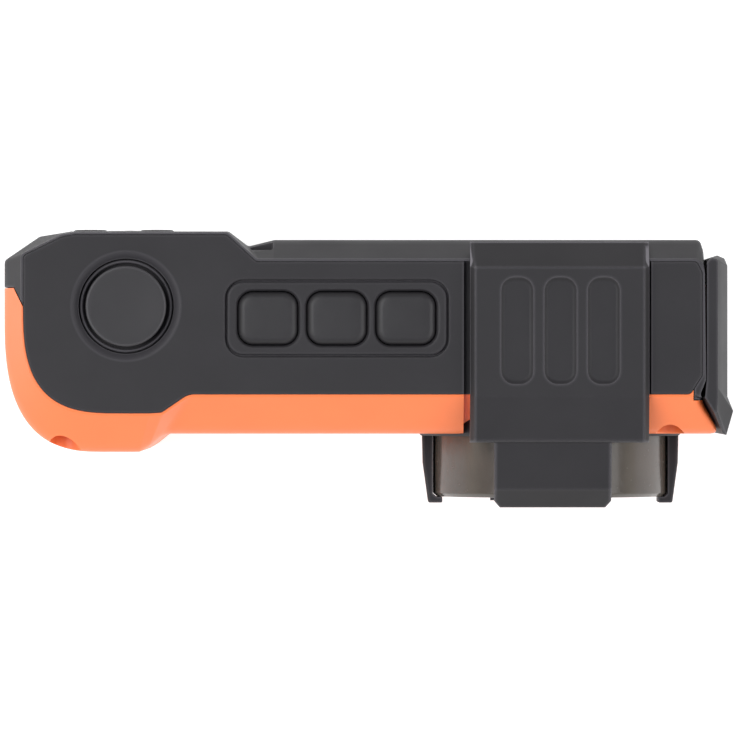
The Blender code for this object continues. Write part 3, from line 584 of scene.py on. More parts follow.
def floor_material():
    """A pale sweep with a hardly visible paper tooth."""
    n = Nodes("sweep_paper")
    tooth = n.noise(1.5 * MM, 4)
    base = n.blend(n.noise(60 * MM, 2), (0.54, 0.54, 0.54), (0.56, 0.56, 0.56))
    n.bump((tooth, 0.01 * MM))
    return n.finish(base, n.varied(tooth, 0.85, 0.95), **{
        "Specular IOR Level": 0.2, "Emission Color": (1.0, 1.0, 1.0, 1.0), "Emission Strength": 0.75,
    })


CHARCOAL = (0.0262, 0.0250, 0.0278)
ORANGE = moulded_plastic("orange_plastic", (0.93, 0.205, 0.060), 0.42, 0.30 * MM, 0.004 * MM, 0.03, 1.05)
DARK = moulded_plastic("dark_plastic", CHARCOAL, 0.54, edge_highlight=3.2, specular=0.26)
# The top panel's plastic, with a painted highlight ring round the shutter's dish.
DARK_PANEL = moulded_plastic("dark_panel_plastic", CHARCOAL, 0.54, specular=0.26,
                             ring=((SHUTTER.x, SHUTTER.y, 0), 7.35 * MM, 8.5 * MM))
# The bridge's plastic: its outer edges carry a strong painted highlight.
DARK_BRIDGE = moulded_plastic("dark_bridge_plastic", CHARCOAL, 0.54, edge_highlight=8.0, specular=0.26,
                              edge_reach=0.5 * MM)
DARK_FINE = moulded_plastic("dark_fine_plastic", (0.0262, 0.0252, 0.0275), 0.44, 0.16 * MM, 0.004 * MM,
                            edge_highlight=3.2, specular=0.32)
# The shutter cap's plastic: its rim carries a stronger painted highlight.
DARK_CAP = moulded_plastic("dark_cap_plastic", (0.0275, 0.0265, 0.0290), 0.44, 0.16 * MM, 0.004 * MM,
                           edge_highlight=5.0, specular=0.36)
DARK_INSIDE = moulded_plastic("dark_inner_plastic", (0.018, 0.018, 0.019), 0.62)
HOUSING = glossy_housing("lens_housing_plastic", (0.080, 0.068, 0.058))
MARKS = moulded_plastic("mark_paint", (0.52, 0.52, 0.52), 0.55, 0.12 * MM, 0.002 * MM)
RUBBER = rubber("grip_rubber", (0.017, 0.017, 0.018), 0.55 * MM)
SEAL = rubber("seal_silicone", (0.50, 0.055, 0.028), 0.35 * MM)
GLASS = clear_glass("window_glass", (0.97, 0.98, 1.0))
COATED = clear_glass("coated_glass", (0.80, 0.84, 0.95), 420.0)
SCREEN = screen_glass("screen_cover", *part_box("screen_window"))
STEEL = metal("brushed_steel", (0.60, 0.60, 0.62), 0.28)
BRASS = metal("turned_brass", (0.72, 0.52, 0.24), 0.26, (1, 1, 1))
CIRCUIT = circuit_board("circuit_board")
SLEEVE = printed_sleeve("battery_sleeve")

SLOT_MATERIAL = {
    "orange_shell": ORANGE, "black_shell": DARK, "black_key": DARK_FINE, "lens_housing": HOUSING,
    "rubber": RUBBER, "seal": SEAL, "glass": GLASS, "screen_glass": SCREEN, "steel": STEEL, "brass": BRASS,
    "circuit": CIRCUIT, "component": DARK_INSIDE, "battery_wrap": SLEEVE,
}


def dress_nodes():
    """Every CAD node gets its slot's procedural material. Most are replaced by finer pieces afterwards."""
    for node, obj in frame["nodes"].items():
        obj.data.materials.clear()
        obj.data.materials.append(SLOT_MATERIAL[SLOT_OF[node]])


# ---------------- covers and top panel

CORNER_STEPS = 4
GRIP_STEPS = 28


def superellipse(centre, rx, ry, power):
    """The lower left quarter of a superellipse in mm, from its leftmost point to its lowest."""
    points = []
    for k in range(GRIP_STEPS + 1):
        angle = math.radians(90) * k / GRIP_STEPS
        x = centre[0] - rx * math.cos(angle) ** (2 / power)
        y = centre[1] - ry * math.sin(angle) ** (2 / power)
        points.append((x, y))
    return points


def plan_outline(grip, rest, grown):
    """The grip's smooth quarter followed by the other corners, all moved out by grown, corners rounded."""
    step_radii = [1.0 * MM, 1.2 * MM, 3.0 * MM]  # from the grip's front to the body's front
    radii = [0.0] * len(grip) + step_radii + [0.9 * MM] * (len(rest) - len(step_radii))
    return rounded(offset(in_metres(grip + rest), grown), radii, CORNER_STEPS)


def body_plan(grown=0.0):
    """The covers' plan at their widest, anticlockwise from the grip's left side."""
    return plan_outline(superellipse((-41.0, 3.0), 15.0, 20.7, 2.7), [
        (-35.2, -17.7), (-33.7, -16.8), (-31.4, -14.9), (54.0, -14.9),
        (50.7, -8.9), (51.6, -6.6), (51.4, 13.3), (50.9, 14.9),
        (-14.5, 14.9), (-18.5, 13.9), (-21.5, 16.2), (-45.7, 16.2), (-50.6, 15.4), (-56.0, 11.7),
    ], grown)


def panel_plan(grown=0.0):
    """The top panel's plan. Its points answer those of body_plan one for one."""
    return plan_outline(superellipse((-38.0, 5.0), 14.8, 16.7, 3.0), [
        (-33.6, -11.7), (-31.7, -11.6), (-27.6, -8.8), (49.2, -8.8),
        (50.1, -7.4), (51.0, -6.0), (51.0, 9.8), (50.2, 11.5),
        (-14.5, 11.5), (-17.2, 11.5), (-21.7, 15.6), (-44.9, 15.6), (-46.8, 15.3), (-52.8, 12.4),
    ], grown)


# The base's rounding as (offset, height), and the shoulder's as (share of the slope, height)
BASE_CURVE = ((-1.75, 0.0), (-1.48, 0.10), (-1.22, 0.35), (-0.40, 1.55), (-0.10, 2.10), (0.0, 2.90))
SHOULDER_CURVE = (
    (0.0, 58.6), (0.012, 59.3), (0.05, 60.0), (0.135, 60.75), (0.25, 61.43), (0.5, 62.85), (0.75, 64.27),
    (0.90, 65.13), (0.965, 65.48), (0.99, 65.64),
)


def upright_end(outer, rim):
    """The rim with its stretch at the right end moved out over the body's side, where the end wall stands.

    The corners at the front and rear stay. The point beside the rear corner takes only the side's X.
    """
    made = []
    for a, b in zip(outer, rim):
        if a.x > 50.3 * MM and abs(a.y) < 10 * MM:
            made.append(a)
        elif a.x > 51.0 * MM and a.y > 0:
            made.append(Vector((a.x, b.y)))
        else:
            made.append(b)
    return made


def body_solid(name):
    """The whole body as one smooth solid, before it is hollowed and split."""
    outer = body_plan()
    rim = upright_end(outer, panel_plan(0.35 * MM))
    rings = [at_height(body_plan(grown * MM), height * MM) for grown, height in BASE_CURVE]
    for share, height in SHOULDER_CURVE:
        between = [a.lerp(b, share) for a, b in zip(outer, rim)]
        rings.append(at_height(between, height * MM))
    rings.append(at_height(upright_end(body_plan(-0.11 * MM), panel_plan(0.24 * MM)), RIM_Z))
    return loft(name, rings)


def body_cavity(name):
    inner = body_plan(-WALL)
    neck = panel_plan(-1.6 * MM)
    return loft(name, [
        at_height(inner, WALL), at_height(inner, SHOULDER_Z - 1.2 * MM),
        at_height(neck, TOP_Z - 2.3 * MM), at_height(neck, TOP_Z + 5 * MM),
    ])


def panel_pocket():
    return prism("pocket", panel_plan(0.06 * MM), TOP_Z - 2.3 * MM, TOP_Z + 5 * MM)


def split_tongue(shrunk=0.0):
    """The rear cover's pointed tongue along the top panel's left edge, ahead of the split."""
    left, right = -54.4 * MM, -51.0 * MM
    tip_x, tip_y = -52.9 * MM, 4.6 * MM
    back = SPLIT_Y + 1 * MM
    plan = [(left, back), (left, SPLIT_Y), (tip_x, tip_y), (right, tip_y), (right, back)]
    return prism("tongue", offset(plan, -shrunk), 57 * MM, 90 * MM)


def beyond_front_cover():
    """Everything behind the split, and the right end wall: what the front cover leaves out."""
    x, y = (place - SEAM / 2 for place in END_WALL)
    behind = box("behind", (-FAR, SPLIT_Y, -FAR), (FAR, FAR, FAR))
    return join(behind, box("end_wall", (x, y, -FAR), (FAR, FAR / 2, FAR)), split_tongue())


def beyond_rear_cover():
    """Everything in front of the split, except the right end wall: what the rear cover leaves out."""
    x, y = (place + SEAM / 2 for place in END_WALL)
    ahead = box("ahead", (-FAR, -FAR, -FAR), (FAR, SPLIT_Y + SEAM, FAR))
    return cut(ahead, box("end_wall", (x, y, -2 * FAR), (2 * FAR, FAR, 2 * FAR)), split_tongue(SEAM))


def side_opening():
    return box("side_opening", (45 * MM, -4.7 * MM, 5.3 * MM), (60 * MM, 12.2 * MM, 61.0 * MM))


def make_front_cover():
    screws = [centre_of(name) for name in FRONT_SCREWS]
    posts = [rod("post", 3.2 * MM, 4.8 * MM, 25 * MM, 24, ALONG_Y, (s.x, 0, s.z)) for s in screws]
    cavity = cut(body_cavity("cavity"), *posts)
    cover = cut(body_solid("front_cover_skin"), cavity, panel_pocket(), beyond_front_cover(), side_opening())
    flash, pad = centre_of("flash_window"), centre_of("grip_pad")
    bush, speaker = centre_of("tripod_bush"), centre_of("speaker")
    cut(
        cover,
        flared_hole("hole", 20.75 * MM, -2.2 * MM, 0, ALONG_Y, (LENS.x, FRONT_Y, LENS.z), 0.4 * MM, 128),
        flared("hole", 12.4 * MM, 6.4 * MM, 1.5 * MM, -6 * MM, 0, facing_front(flash.x, FRONT_Y, flash.z)),
        flared("pad_hollow", 11.4 * MM, 40.4 * MM, 3.0 * MM, -1.2 * MM, 0,
               facing_front(pad.x, GRIP_FRONT_Y, pad.z), 0.35 * MM),
        flared_hole("tripod_hole", 5.0 * MM, -4 * MM, 0, Matrix.Rotation(math.pi, 4, "X"), (bush.x, 0, 0)),
    )
    # The hollow beside the bridge: its side view, and its reach to both sides of the bridge's left face
    edge = BRACKET.x - BRACKET_WIDTH / 2
    side = in_metres([(-21, 57), (-15, 57), (-14.2, 58), (-8.45, 65.1), (-8.45, 71), (-21, 71)])
    rings = [[Vector((x, y, z)) for y, z in side] for x in (edge - GROOVE_WIDTH, edge + 0.3 * MM)]
    cut(cover, loft("bridge_groove", rings))
    for step in (-1, 0, 1):
        place = facing_front(speaker.x + step * 3.2 * MM, FRONT_Y, speaker.z)
        cut(cover, flared("slot", 1.3 * MM, 8.8 * MM, 0.6 * MM, -5 * MM, 0, place, 0.2 * MM, 4))
    for s in screws:
        place = (s.x, 0, s.z)
        cut(cover, flared_hole("recess", 2.1 * MM, SCREW_SEAT, -FRONT_Y, ALONG_Y, place, 0.3 * MM, 48))
        cut(cover, rod("bore", 1.25 * MM, -1 * MM, 20 * MM, 24, ALONG_Y, place))
    return stands_for(smooth(cover), "front_cover", ORANGE)


def make_rear_cover():
    corner = box("corner", (-60 * MM, 8.0 * MM, 43.5 * MM), (-47.9 * MM, 20 * MM, 70 * MM))
    cavity = cut(body_cavity("cavity"), corner)
    cover = cut(body_solid("rear_cover_skin"), cavity, panel_pocket(), beyond_rear_cover(), side_opening())
    window, bar = centre_of("screen_window"), centre_of("strap_bar")
    screen = facing_rear(window.x, REAR_Y, window.z)
    cut(
        cover,
        flared("window", 60.4 * MM, 46.4 * MM, 2.3 * MM, -1.3 * MM, 0, screen, 0.3 * MM),
        flared("view", 55 * MM, 41.5 * MM, 0.6 * MM, -6 * MM, 0, screen, 0.05 * MM),
        box("notch", (-60 * MM, 9.9 * MM, 47.0 * MM), (-49.9 * MM, 20 * MM, 58.0 * MM), 0.6 * MM, 3),
        box("rear_slot", (-18.2 * MM, 13.3 * MM, 60.6 * MM), (-14.7 * MM, 16 * MM, 63.2 * MM), 0.3 * MM, 2),
        rod("bar_hole", 1 * MM, 44.9 * MM, 59.7 * MM, 32, UPRIGHT, (bar.x, bar.y, 0)),
    )
    gap = 0.6 * MM
    for name in REAR_KEYS:
        key, size = centre_of(name), size_of(name)
        width, height = size.x - REAR_KEY_FLANGES, size.z - REAR_KEY_FLANGES
        place = facing_rear(key.x, GRIP_REAR_Y, key.z)
        cut(cover, flared("hole", width + gap, height + gap, 1.5 * MM, -6 * MM, 0, place))
    return stands_for(smooth(cover), "rear_cover", DARK)


def make_top_panel():
    """The flat plate with its rounded rim, the dish round the shutter button and the key frame's hole."""
    rim = 0.22 * MM
    rings = [at_height(panel_plan(), TOP_Z - 2 * MM), at_height(panel_plan(), TOP_Z - rim)]
    for inset, lower in quarter_round(4, 1):
        rings.append(at_height(panel_plan(-rim * inset), TOP_Z - rim * lower))
    panel = loft("top_panel_skin", rings)
    hole, sunk = 7.3, 0.62
    profile = [(0, -5), (hole, -5), (hole, -sunk)]
    for k in range(9):
        share = k / 8
        profile.append((hole + 0.1 + 1.15 * share, -sunk + (sunk + 0.02) * math.sin(share * math.pi / 2)))
    profile += [(8.6, 1), (0, 1)]
    dish = turned("dish", in_metres(profile), 128, UPRIGHT, (SHUTTER.x, SHUTTER.y, TOP_Z))
    centre, size = centre_of("key_bezel"), size_of("key_bezel")
    gap = 0.5 * MM
    width, depth = size.x - BEZEL_FLANGES, size.y - BEZEL_FLANGES
    place = Matrix.Translation((centre.x, centre.y, TOP_Z))
    keypad = flared("keypad", width + gap, depth + gap, 2.8 * MM, -5 * MM, 0, place, 0.3 * MM, 8)
    cut(panel, dish, keypad)
    edge = BRACKET_WIDTH / 2
    for near, far in ((-edge - GROOVE_WIDTH, 0.3 * MM - edge), (edge - 0.3 * MM, edge + 0.3 * MM)):
        cut(panel, box("shadow_gap", (BRACKET.x + near, -20 * MM, TOP_Z - 1.2 * MM),
                       (BRACKET.x + far, 20 * MM, TOP_Z + 1 * MM)))
    return stands_for(smooth(panel, 30), "top_panel", DARK_PANEL)


# ---------------- bridge, guard and lens


def across(half, round_edge):
    """Stations across a bar with rounded long edges: x, and how far the outer face is lowered there."""
    right = [(half - round_edge * lower, round_edge * inset) for inset, lower in quarter_round(5)]
    return [(-x, lowered) for x, lowered in reversed(right)] + right


def claw(side, width, place, outer):
    """A bent flat bar. side is its side view: forward, and up from the lens axis.

    outer is the range of the side's points that form the outer face, whose long edges are rounded.
    """
    rings = []
    for x, lowered in across(width / 2, 0.4 * MM):
        ring = []
        for i, (forward, up) in enumerate(side):
            ring.append(Vector((x, -forward, up - (lowered if outer[0] <= i < outer[1] else 0.0))))
        rings.append(ring)
    return moved(loft("claw", rings), place)


def filleted(points, radii):
    """An outline in metres from corners and their radii in mm."""
    return rounded(in_metres(points), [r * MM for r in radii], CORNER_STEPS)


def claw_side(points, radii, outer):
    """A filleted claw profile in mm, and the range of its points that belongs to the outer corners."""
    counts = [CORNER_STEPS + 1 if r else 1 for r in radii]
    return filleted(points, radii), [sum(counts[:corner]) for corner in outer]


def make_top_bracket():
    """The bridge over the lens with its three long hollows, and the top claw that it runs into."""
    outline = filleted([
        (14.6, 63.9), (10.6, 67.7), (-9.2, 67.7), (-16.2, 66.5), (-16.2, 61.6), (-15.3, 60.2),
        (-14.9, 60.45), (-9.0, 66.3), (11.2, 66.3), (14.2, 63.5),
    ], [0.2, 0.3, 3.0, 0.6, 0.3, 0.2, 0.2, 0.3, 0.3, 0.1])
    per_corner = CORNER_STEPS + 1
    # The bevelled flank: how far in from the side, and how far lowered there
    flank = in_metres([(0.0, 1.2), (0.06, 0.95), (0.62, 0.16), (0.72, 0.05), (0.86, 0.0)])
    half = BRACKET_WIDTH / 2
    stations = [(inward - half, lowered) for inward, lowered in flank]
    stations += [(half - inward, lowered) for inward, lowered in reversed(flank)]
    rings = []
    for x, lowered in stations:
        ring = []
        for i, (y, z) in enumerate(outline):
            on_top = per_corner <= i < 4 * per_corner
            ring.append(Vector((BRACKET.x + x, y, z - (lowered if on_top else 0.0))))
        rings.append(ring)
    bracket = loft("top_bracket_skin", rings)
    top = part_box("top_bracket")[1][2]
    for pitch in (-1, 0, 1):
        centre = (BRACKET.x + 0.1 * MM + pitch * 6.6 * MM, 0.9 * MM)
        stages = []
        for k in range(6):
            share = k / 5
            width, length = (3.5 + 1.5 * share) * MM, (14.9 + 1.5 * share) * MM
            corner = (1.3 + 0.75 * share) * MM
            depth = 0.45 * MM * (1 - share ** 2)
            stages.append(rectangle_at(top - depth + 0.01 * MM, width, length, corner, 8, centre))
        stages.append(rectangle_at(top + 2 * MM, 5.0 * MM, 16.4 * MM, 2.05 * MM, 8, centre))
        cut(bracket, loft("pill", stages))
    side, outer = claw_side([
        (13.5, 21.4), (14.5, 22.95), (23.4, 20.95), (26.2, 18.4), (26.2, 15.3), (24.95, 15.3), (24.95, 18.7),
        (15.7, 18.9), (15.2, 20.9),
    ], [0, 0.4, 0.4, 0.3, 0.3, 0.3, 0.3, 0, 0], (1, 4))
    top_claw = claw(side, 18.0 * MM, Matrix.Translation(LENS_AXIS), outer)
    for sign in (-1, 1):
        corner = in_metres([(sign * 9.2, -24.9), (sign * 9.2, -27.0), (sign * 7.4, -27.0)])
        corner = [(LENS.x + x, y) for x, y in corner]
        cut(top_claw, prism("corner", corner[::sign], 40 * MM, 75 * MM))
    join(bracket, top_claw)
    room = rod("room", 18.5 * MM, 12 * MM, 24.95 * MM, 128, ALONG_Y, LENS_AXIS)
    return stands_for(smooth(cut(bracket, room), 30), "top_bracket", DARK_BRIDGE)


def lens_turned(name, profile, radius=0.0, segments=128):
    """A turned lens part from a profile in mm: radius, and distance forward. Its corners may be rounded."""
    points = in_metres(profile)
    if radius:
        points = rounded(points, [radius * MM if r > 0 else 0 for r, _ in profile], 3)
    return turned(name, points, segments, ALONG_Y, LENS_AXIS)


def make_lens_guard():
    """The ring round the barrel and its three claws. The bridge's own claw is the fourth, at the top."""
    section = [(18.5, 12.9), (20.5, 12.9), (20.5, 14.8), (20.1, 15.3), (18.5, 15.3)]
    guard = lens_turned("lens_guard_skin", section, 0.2)
    inner = 18.24
    side, outer = claw_side([
        (15.2, inner), (15.2, 19.9), (19.5, 19.8), (25.7, 18.95), (25.7, 16.75), (24.8, 16.75), (24.8, 17.68),
        (24.27, inner),
    ], [0, 0.2, 0.8, 0.3, 0.25, 0.2, 0, 0], (1, 4))
    for degrees, width in ((90, 8.0), (180, 18.0), (270, 8.0)):
        turn = Matrix.Rotation(math.radians(degrees), 4, "Y")
        join(guard, claw(side, width * MM, Matrix.Translation(LENS_AXIS) @ turn, outer))
    reach = 14 * MM
    cut(guard, box("room", (LENS.x - reach, -30 * MM, 59.85 * MM), (LENS.x + reach, 0, 70 * MM)))
    return stands_for(smooth(guard, 30), "lens_guard", DARK)


def make_lens():
    """The barrel, its ribbed bezel and its glasses."""
    barrel = lens_turned("lens_barrel_skin", [
        (14.5, 13.0), (18.2, 13.0), (18.2, 24.2), (17.6, 24.75), (15.2, 24.75), (15.2, 22.4), (14.5, 22.4),
    ], 0.3, 160)
    stands_for(smooth(barrel, 30), "lens_barrel", HOUSING)
    rim = [(14.2, 22.7), (14.9, 22.7), (14.9, 24), (14.6, 24.35), (13.9, 24.35)]
    profile = [(9.6, 20.1), (14.2, 20.1)] + rim
    ribs = 9
    for k in range(ribs):
        share = k / ribs
        radius = 13.7 - 4.0 * share
        forward = 24.2 - 3.2 * share
        profile += [(radius, forward), (radius, forward - 0.28), (radius - 0.2, forward - 0.28)]
    profile.append((9.6, 20.95))
    stands_for(smooth(lens_turned("lens_bezel_skin", profile), 30), "lens_bezel", DARK_FINE)
    for name, radius, back, front, bulge, material in (
        ("lens_window", 11.5, 18.3, 19.6, 0.15, GLASS),
        ("front_element", 5.8, 12.6, 13.6, 0.9, COATED),
        ("rear_element", 5.8, 6.8, 7.6, 0.7, COATED),
    ):
        stands_for(smooth(glass_disc(f"{name}_glass", radius, back, front, bulge)), name, material)


def glass_disc(name, radius, back, front, bulge):
    """A lens element with both faces bulging outwards, in mm."""
    steps = 12
    profile = [(0, back - bulge)]
    for k in range(1, steps + 1):
        profile.append((radius * k / steps, back - bulge * (1 - (k / steps) ** 2)))
    for k in range(steps, 0, -1):
        profile.append((radius * k / steps, front + bulge * (1 - (k / steps) ** 2)))
    profile.append((0, front + bulge))
    return lens_turned(name, profile, segments=96)


# ---------------- top controls


def arc_profile(radius, top, fillet, dish):
    """Points of a button's cap: up its side, round its edge, and across a face dished by dish."""
    points = [(radius - fillet * inset, top - fillet * lower) for inset, lower in quarter_round(6)]
    inner = radius - fillet - 0.35 * MM
    for k in range(9):
        share = 1 - k / 8
        points.append((inner * share, top - dish * (1 - share ** 2)))
    return points


def make_shutter():
    """The button with its rounded edge and dished face, and the collar round it."""
    centre = (SHUTTER.x, SHUTTER.y, 0)
    stem = in_metres([
        (0, -5.4), (2.4, -5.4), (2.4, -4.8), (1.3, -4.8), (1.3, -0.2), (5.5, -0.2), (5.5, -1.1), (6.15, -1.1),
    ])
    cap = arc_profile(6.15 * MM, TOP_Z + 0.88 * MM, 0.28 * MM, 0.10 * MM)
    profile = [(r, TOP_Z + h) for r, h in stem] + cap
    button = turned("shutter_button_skin", profile, 128, UPRIGHT, centre)
    stands_for(smooth(button, 50), "shutter_button", DARK_CAP)
    collar = turned("shutter_collar_skin", in_metres([
        (2.0, 62.8), (8.4, 62.8), (8.4, 63.65), (7.1, 63.65), (7.1, 64.8), (6.95, 64.95), (6.75, 64.95),
        (6.6, 64.8), (6.6, 63.2), (3.2, 63.2), (3.2, 64.4), (2.0, 64.4),
    ]), 96, UPRIGHT, centre)
    stands_for(smooth(collar), "shutter_collar", DARK)


def pillow_key(name, low, top, width, height, flange, radius, place, fillet, crown):
    """A key with a flange, and a cap whose edges roll over into a slightly crowned face."""
    shelf = low + 0.8 * MM
    rings = [rectangle_at(z, width + 2 * flange, height + 2 * flange, radius + flange) for z in (low, shelf)]
    rings.append(rectangle_at(shelf, width, height, radius))
    rings += rolled_edge(top - crown, fillet, width, height, radius, 6)
    face_x, face_y = width - 2 * fillet, height - 2 * fillet
    corner = max(radius - fillet, 0.35 * MM)
    for share in (0.75, 0.5, 0.25, 0.06):
        rings.append(rectangle_at(top - crown * share ** 2, face_x * share, face_y * share, corner * share))
    return moved(loft(name, rings), place)


def make_top_keys():
    """The frame round the function keys, with rolled edges, and the keys."""
    centre, size = centre_of("key_bezel"), size_of("key_bezel")
    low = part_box("key_bezel")[0][2]
    flange_top, groove, top = low + 1.2 * MM, TOP_Z - 0.8 * MM, TOP_Z - 0.05 * MM
    width, depth = size.x - BEZEL_FLANGES, size.y - BEZEL_FLANGES
    rings = [rectangle_at(z, size.x, size.y, 3.6 * MM) for z in (low, flange_top)]
    rings += [rectangle_at(z, width + 0.44 * MM, depth + 0.44 * MM, 2.72 * MM) for z in (flange_top, groove)]
    rings.append(rectangle_at(groove, width, depth, 2.5 * MM))
    rings += rolled_edge(top, 0.35 * MM, width, depth, 2.5 * MM, 5)
    bezel = moved(loft("key_bezel_skin", rings), Matrix.Translation((centre.x, centre.y, 0)))
    for name in KEYS:
        key, key_size = centre_of(name), size_of(name)
        key_low, key_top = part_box(name)[0][2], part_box(name)[1][2]
        width, depth = key_size.x - 0.7 * MM, key_size.y - 0.7 * MM
        place = Matrix.Translation((key.x, key.y, 0))
        gap = 0.2 * MM
        cut(bezel, flared("hole", width + gap, depth + gap, 2.35 * MM, 50 * MM, top, place, 0.65 * MM, 8))
        cap = pillow_key(f"{name}_cap", key_low, key_top - 0.2 * MM, width, depth, 0.35 * MM, 2.25 * MM,
                         place, 1.1 * MM, 0.05 * MM)
        stands_for(smooth(cap, 40), name, DARK_FINE)
    stands_for(smooth(bezel, 30), "key_bezel", DARK)


# ---------------- rear controls, screen and symbols


def flat_mark(name, outlines, place):
    """Thin raised marks on a key's face, one solid for each outline."""
    height = 0.06 * MM
    bm = bmesh.new()
    for outline in outlines:
        base = [bm.verts.new((x, y, 0)) for x, y in outline]
        roof = [bm.verts.new((x, y, height)) for x, y in outline]
        for i in range(len(outline)):
            j = (i + 1) % len(outline)
            bm.faces.new((base[i], base[j], roof[j], roof[i]))
        bm.faces.new(base[::-1])
        bm.faces.new(roof)
    return moved(new_object(name, bm), place)


def triangle(size, degrees):
    """An arrowhead's outline that points along degrees."""
    angles = [math.radians(degrees + corner) for corner in (0, 130, 230)]
    return rounded([(size * math.cos(angle), size * math.sin(angle)) for angle in angles], [0.12 * MM] * 3, 3)


def bar(width, height, shift=0.0):
    return rounded_rectangle(width, height, 0.45 * min(width, height), 3, (0, shift))


def circle(radius):
    angles = [2 * math.pi * k / 32 for k in range(32)]
    return [(radius * math.cos(angle), radius * math.sin(angle)) for angle in angles]


def make_rear_keys():
    """The nine keys, with plain symbols: arrows, a dot, bars, plus and minus. The marks' own Y runs down."""
    symbols = {
        "up_key": [triangle(1.0 * MM, -90)],
        "down_key": [triangle(1.0 * MM, 90)],
        "left_key": [triangle(1.0 * MM, 180)],
        "right_key": [triangle(1.0 * MM, 0)],
        "confirm_key": [circle(0.8 * MM)],
        "menu_key": [bar(2.4 * MM, 0.32 * MM, step * 0.75 * MM) for step in (-1, 0, 1)],
        "playback_key": [triangle(1.1 * MM, 180)],
        "zoom_in_key": [bar(2.0 * MM, 0.36 * MM), bar(0.36 * MM, 0.82 * MM, 0.60 * MM),
                        bar(0.36 * MM, 0.82 * MM, -0.60 * MM)],
        "zoom_out_key": [bar(2.0 * MM, 0.36 * MM)],
    }
    for name in REAR_KEYS:
        key, size = centre_of(name), size_of(name)
        low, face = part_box(name)[0][1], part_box(name)[1][1] - 0.06 * MM
        width, height = size.x - REAR_KEY_FLANGES, size.z - REAR_KEY_FLANGES
        cap = pillow_key(f"{name}_cap", low, face, width, height, REAR_KEY_FLANGES / 2, 1.2 * MM,
                         facing_rear(key.x, 0, key.z), 0.5 * MM, 0.0)
        stands_for(smooth(cap, 40), name, DARK_FINE)
        mark = flat_mark(f"{name}_mark", symbols[name], facing_rear(key.x, face, key.z))
        detail_on(mark, name, MARKS)


# ---------------- door, fittings and grip


def make_refined_pieces():
    """The pieces whose CAD shape needs only round edges: the radius in mm, its steps and the least angle."""
    for node, radius, steps, degrees, material in (
        ("screen_window", 0.3, 4, 35, SCREEN),
        ("side_door", 0.22, 3, 25, DARK),
        ("side_frame", 0.15, 2, 30, DARK_INSIDE),
        ("door_latch", 0.14, 3, 35, DARK_FINE),
        ("door_seal", 0.45, 4, 40, SEAL),
        ("strap_bar", 0.15, 3, 50, STEEL),
        ("battery", 0.3, 3, 30, SLEEVE),
        ("usb_socket", 0.12, 2, 40, STEEL),
        ("memory_card", 0.1, 2, 40, DARK_INSIDE),
        ("flash_window", 0.35, 4, 35, GLASS),
    ):
        stands_for(refined(node, radius * MM, steps, degrees), node, material)


def make_fasteners():
    """The front screws, with round heads and six-sided sockets, and the tripod bush."""
    foot = SCREW_SEAT / MM + 0.2
    head, roll = 1.85, 0.6
    top = foot + 1.4
    profile = [(0, -3), (0.85, -3), (0.85, foot), (head - 0.1, foot), (head, foot + 0.1), (head, top - roll)]
    profile += [(head - roll * inset, top - roll * lower) for inset, lower in quarter_round(6, 1)]
    profile.append((0, top))
    socket = [(0, 0.5), (0.78, 0.5), (0.78, 1.15), (0.98, 1.5), (0.98, 2.6), (0, 2.6)]
    socket = in_metres([(r, foot + h) for r, h in socket])
    for name in FRONT_SCREWS:
        screw = centre_of(name)
        place = (screw.x, 0, screw.z)
        skin = turned(f"{name}_skin", in_metres(profile), 48, ALONG_Y, place)
        cut(skin, turned("socket", socket, 6, ALONG_Y, place))
        stands_for(smooth(skin), name, STEEL)
    stands_for(refined("tripod_bush", 0.2 * MM, 2, 40), "tripod_bush", BRASS)


def make_grip_pad():
    """The rubber insert, with a crowned rim and three round-bottomed grooves."""
    pad, size = centre_of("grip_pad"), size_of("grip_pad")
    low, high = -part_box("grip_pad")[1][1], -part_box("grip_pad")[0][1]
    rings = [rectangle_at(low, size.x, size.z, 2.7 * MM)]
    rings += rolled_edge(high, 0.35 * MM, size.x, size.z, 2.7 * MM, 5)
    skin = moved(loft("grip_pad_skin", rings), facing_front(pad.x, 0, pad.z))
    for step in (-1, 0, 1):
        stages = []
        for k in range(6):
            share = k / 5
            half = 0.9 * MM * math.sin(share * math.pi / 2)
            stages.append(rectangle_at(high - 0.3 * MM + 0.32 * MM * share ** 3, 2 * half + 0.02 * MM,
                                       31.2 * MM + 2 * half, half + 0.01 * MM, 6))
        stages.append(rectangle_at(high + 3 * MM, 1.82 * MM, 33 * MM, 0.91 * MM, 6))
        cut(skin, moved(loft("groove", stages), facing_front(pad.x + step * 3.4 * MM, 0, pad.z)))
    return stands_for(smooth(skin), "grip_pad", RUBBER)


# ---------------- stage


def look_at(obj, point):
    obj.rotation_euler = (Vector(point) - obj.location).to_track_quat("-Z", "Y").to_euler()


def make_camera():
    """Straight above, with the lens side at the bottom of the frame."""
    data = bpy.data.cameras.new("camera")
    camera = linked("camera", data)
    view_width = 112.5 * MM
    distance = 1.2
    data.sensor_width = 36.0
    data.lens = 36.0 * distance / view_width
    data.clip_start = 0.05
    data.clip_end = 20.0
    camera.location = (-0.10 * MM, -4.8 * MM, TOP_Z + distance)
    camera.rotation_euler = (0, 0, 0)
    bpy.context.scene.camera = camera


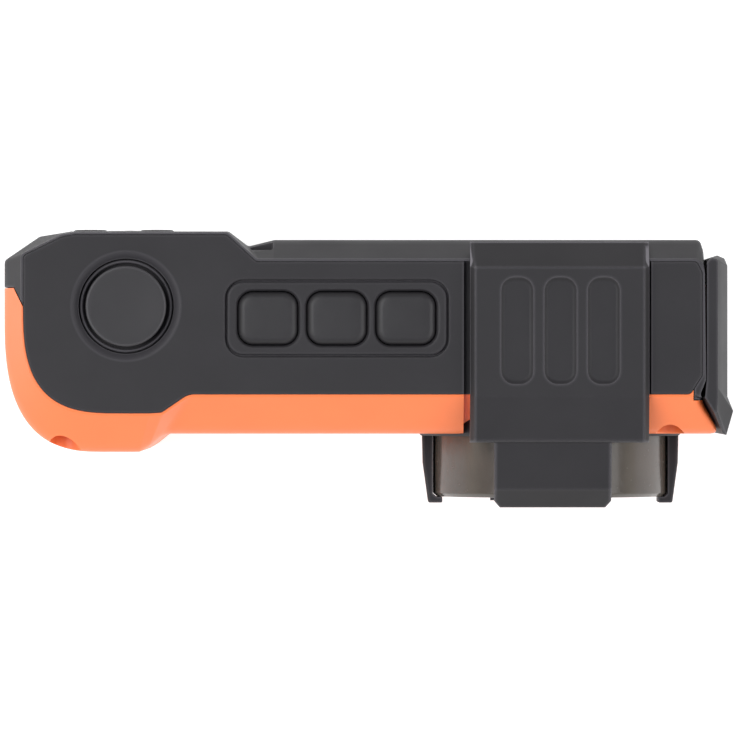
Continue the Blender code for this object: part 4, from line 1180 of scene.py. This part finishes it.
def make_floor():
    bm = bmesh.new()
    bmesh.ops.create_grid(bm, x_segments=1, y_segments=1, size=3.0)
    floor = new_object("floor", bm)
    floor.location.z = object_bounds()[0][2] - 0.05 * MM
    floor.data.materials.append(floor_material())


def make_lights():
    """A soft world, brighter near the horizon and towards the lens side, and two soft lamps."""
    world = Nodes("studio", "worlds", "Background", "Generated")
    bpy.context.scene.world = world.owner
    split = world.add("ShaderNodeSeparateXYZ", {0: world.place})
    ramp = world.add("ShaderNodeValToRGB", {"Fac": split.outputs["Z"]})
    world.link(ramp.outputs["Color"], world.shader.inputs["Color"])
    stops = (  # the sine of the height above the horizon, and the colour there
        (0.0, (1.0, 0.98, 0.86)), (0.12, (0.88, 0.87, 0.77)), (0.35, (0.42, 0.42, 0.40)),
        (0.65, (0.24, 0.245, 0.27)), (1.0, (0.18, 0.185, 0.22)),
    )
    while len(ramp.color_ramp.elements) < len(stops):
        ramp.color_ramp.elements.new(0.5)
    for element, (position, colour) in zip(ramp.color_ramp.elements, stops):
        element.position = position
        element.color = (*colour, 1.0)
    bright_side, middle_level = (-0.10, -0.50, 0.0), 1.25
    side = world.add("ShaderNodeVectorMath", {0: world.place, 1: bright_side}, operation="DOT_PRODUCT")
    inputs = {0: side.outputs["Value"], 1: middle_level, 2: middle_level}
    level = world.add("ShaderNodeMath", inputs, operation="MULTIPLY_ADD")
    world.link(level.outputs[0], world.shader.inputs["Strength"])
    for name, location, size, power in (
        ("key_light", (-0.55, 0.15, 0.95), 0.8, 8.5),
        ("fill_light", (0.75, -0.05, 0.75), 0.9, 5.5),
    ):
        data = bpy.data.lights.new(name, "AREA")
        data.size = size
        data.energy = power
        lamp = linked(name, data)
        lamp.location = location
        look_at(lamp, (0, 0, 0.03))


# ---------------- the scene

bpy.context.scene.view_settings.view_transform = "Standard"
make_camera()
make_floor()
make_lights()
dress_nodes()
make_front_cover()
make_rear_cover()
make_top_panel()
make_top_bracket()
make_lens_guard()
make_lens()
make_shutter()
make_top_keys()
make_rear_keys()
make_refined_pieces()
make_fasteners()
make_grip_pad()
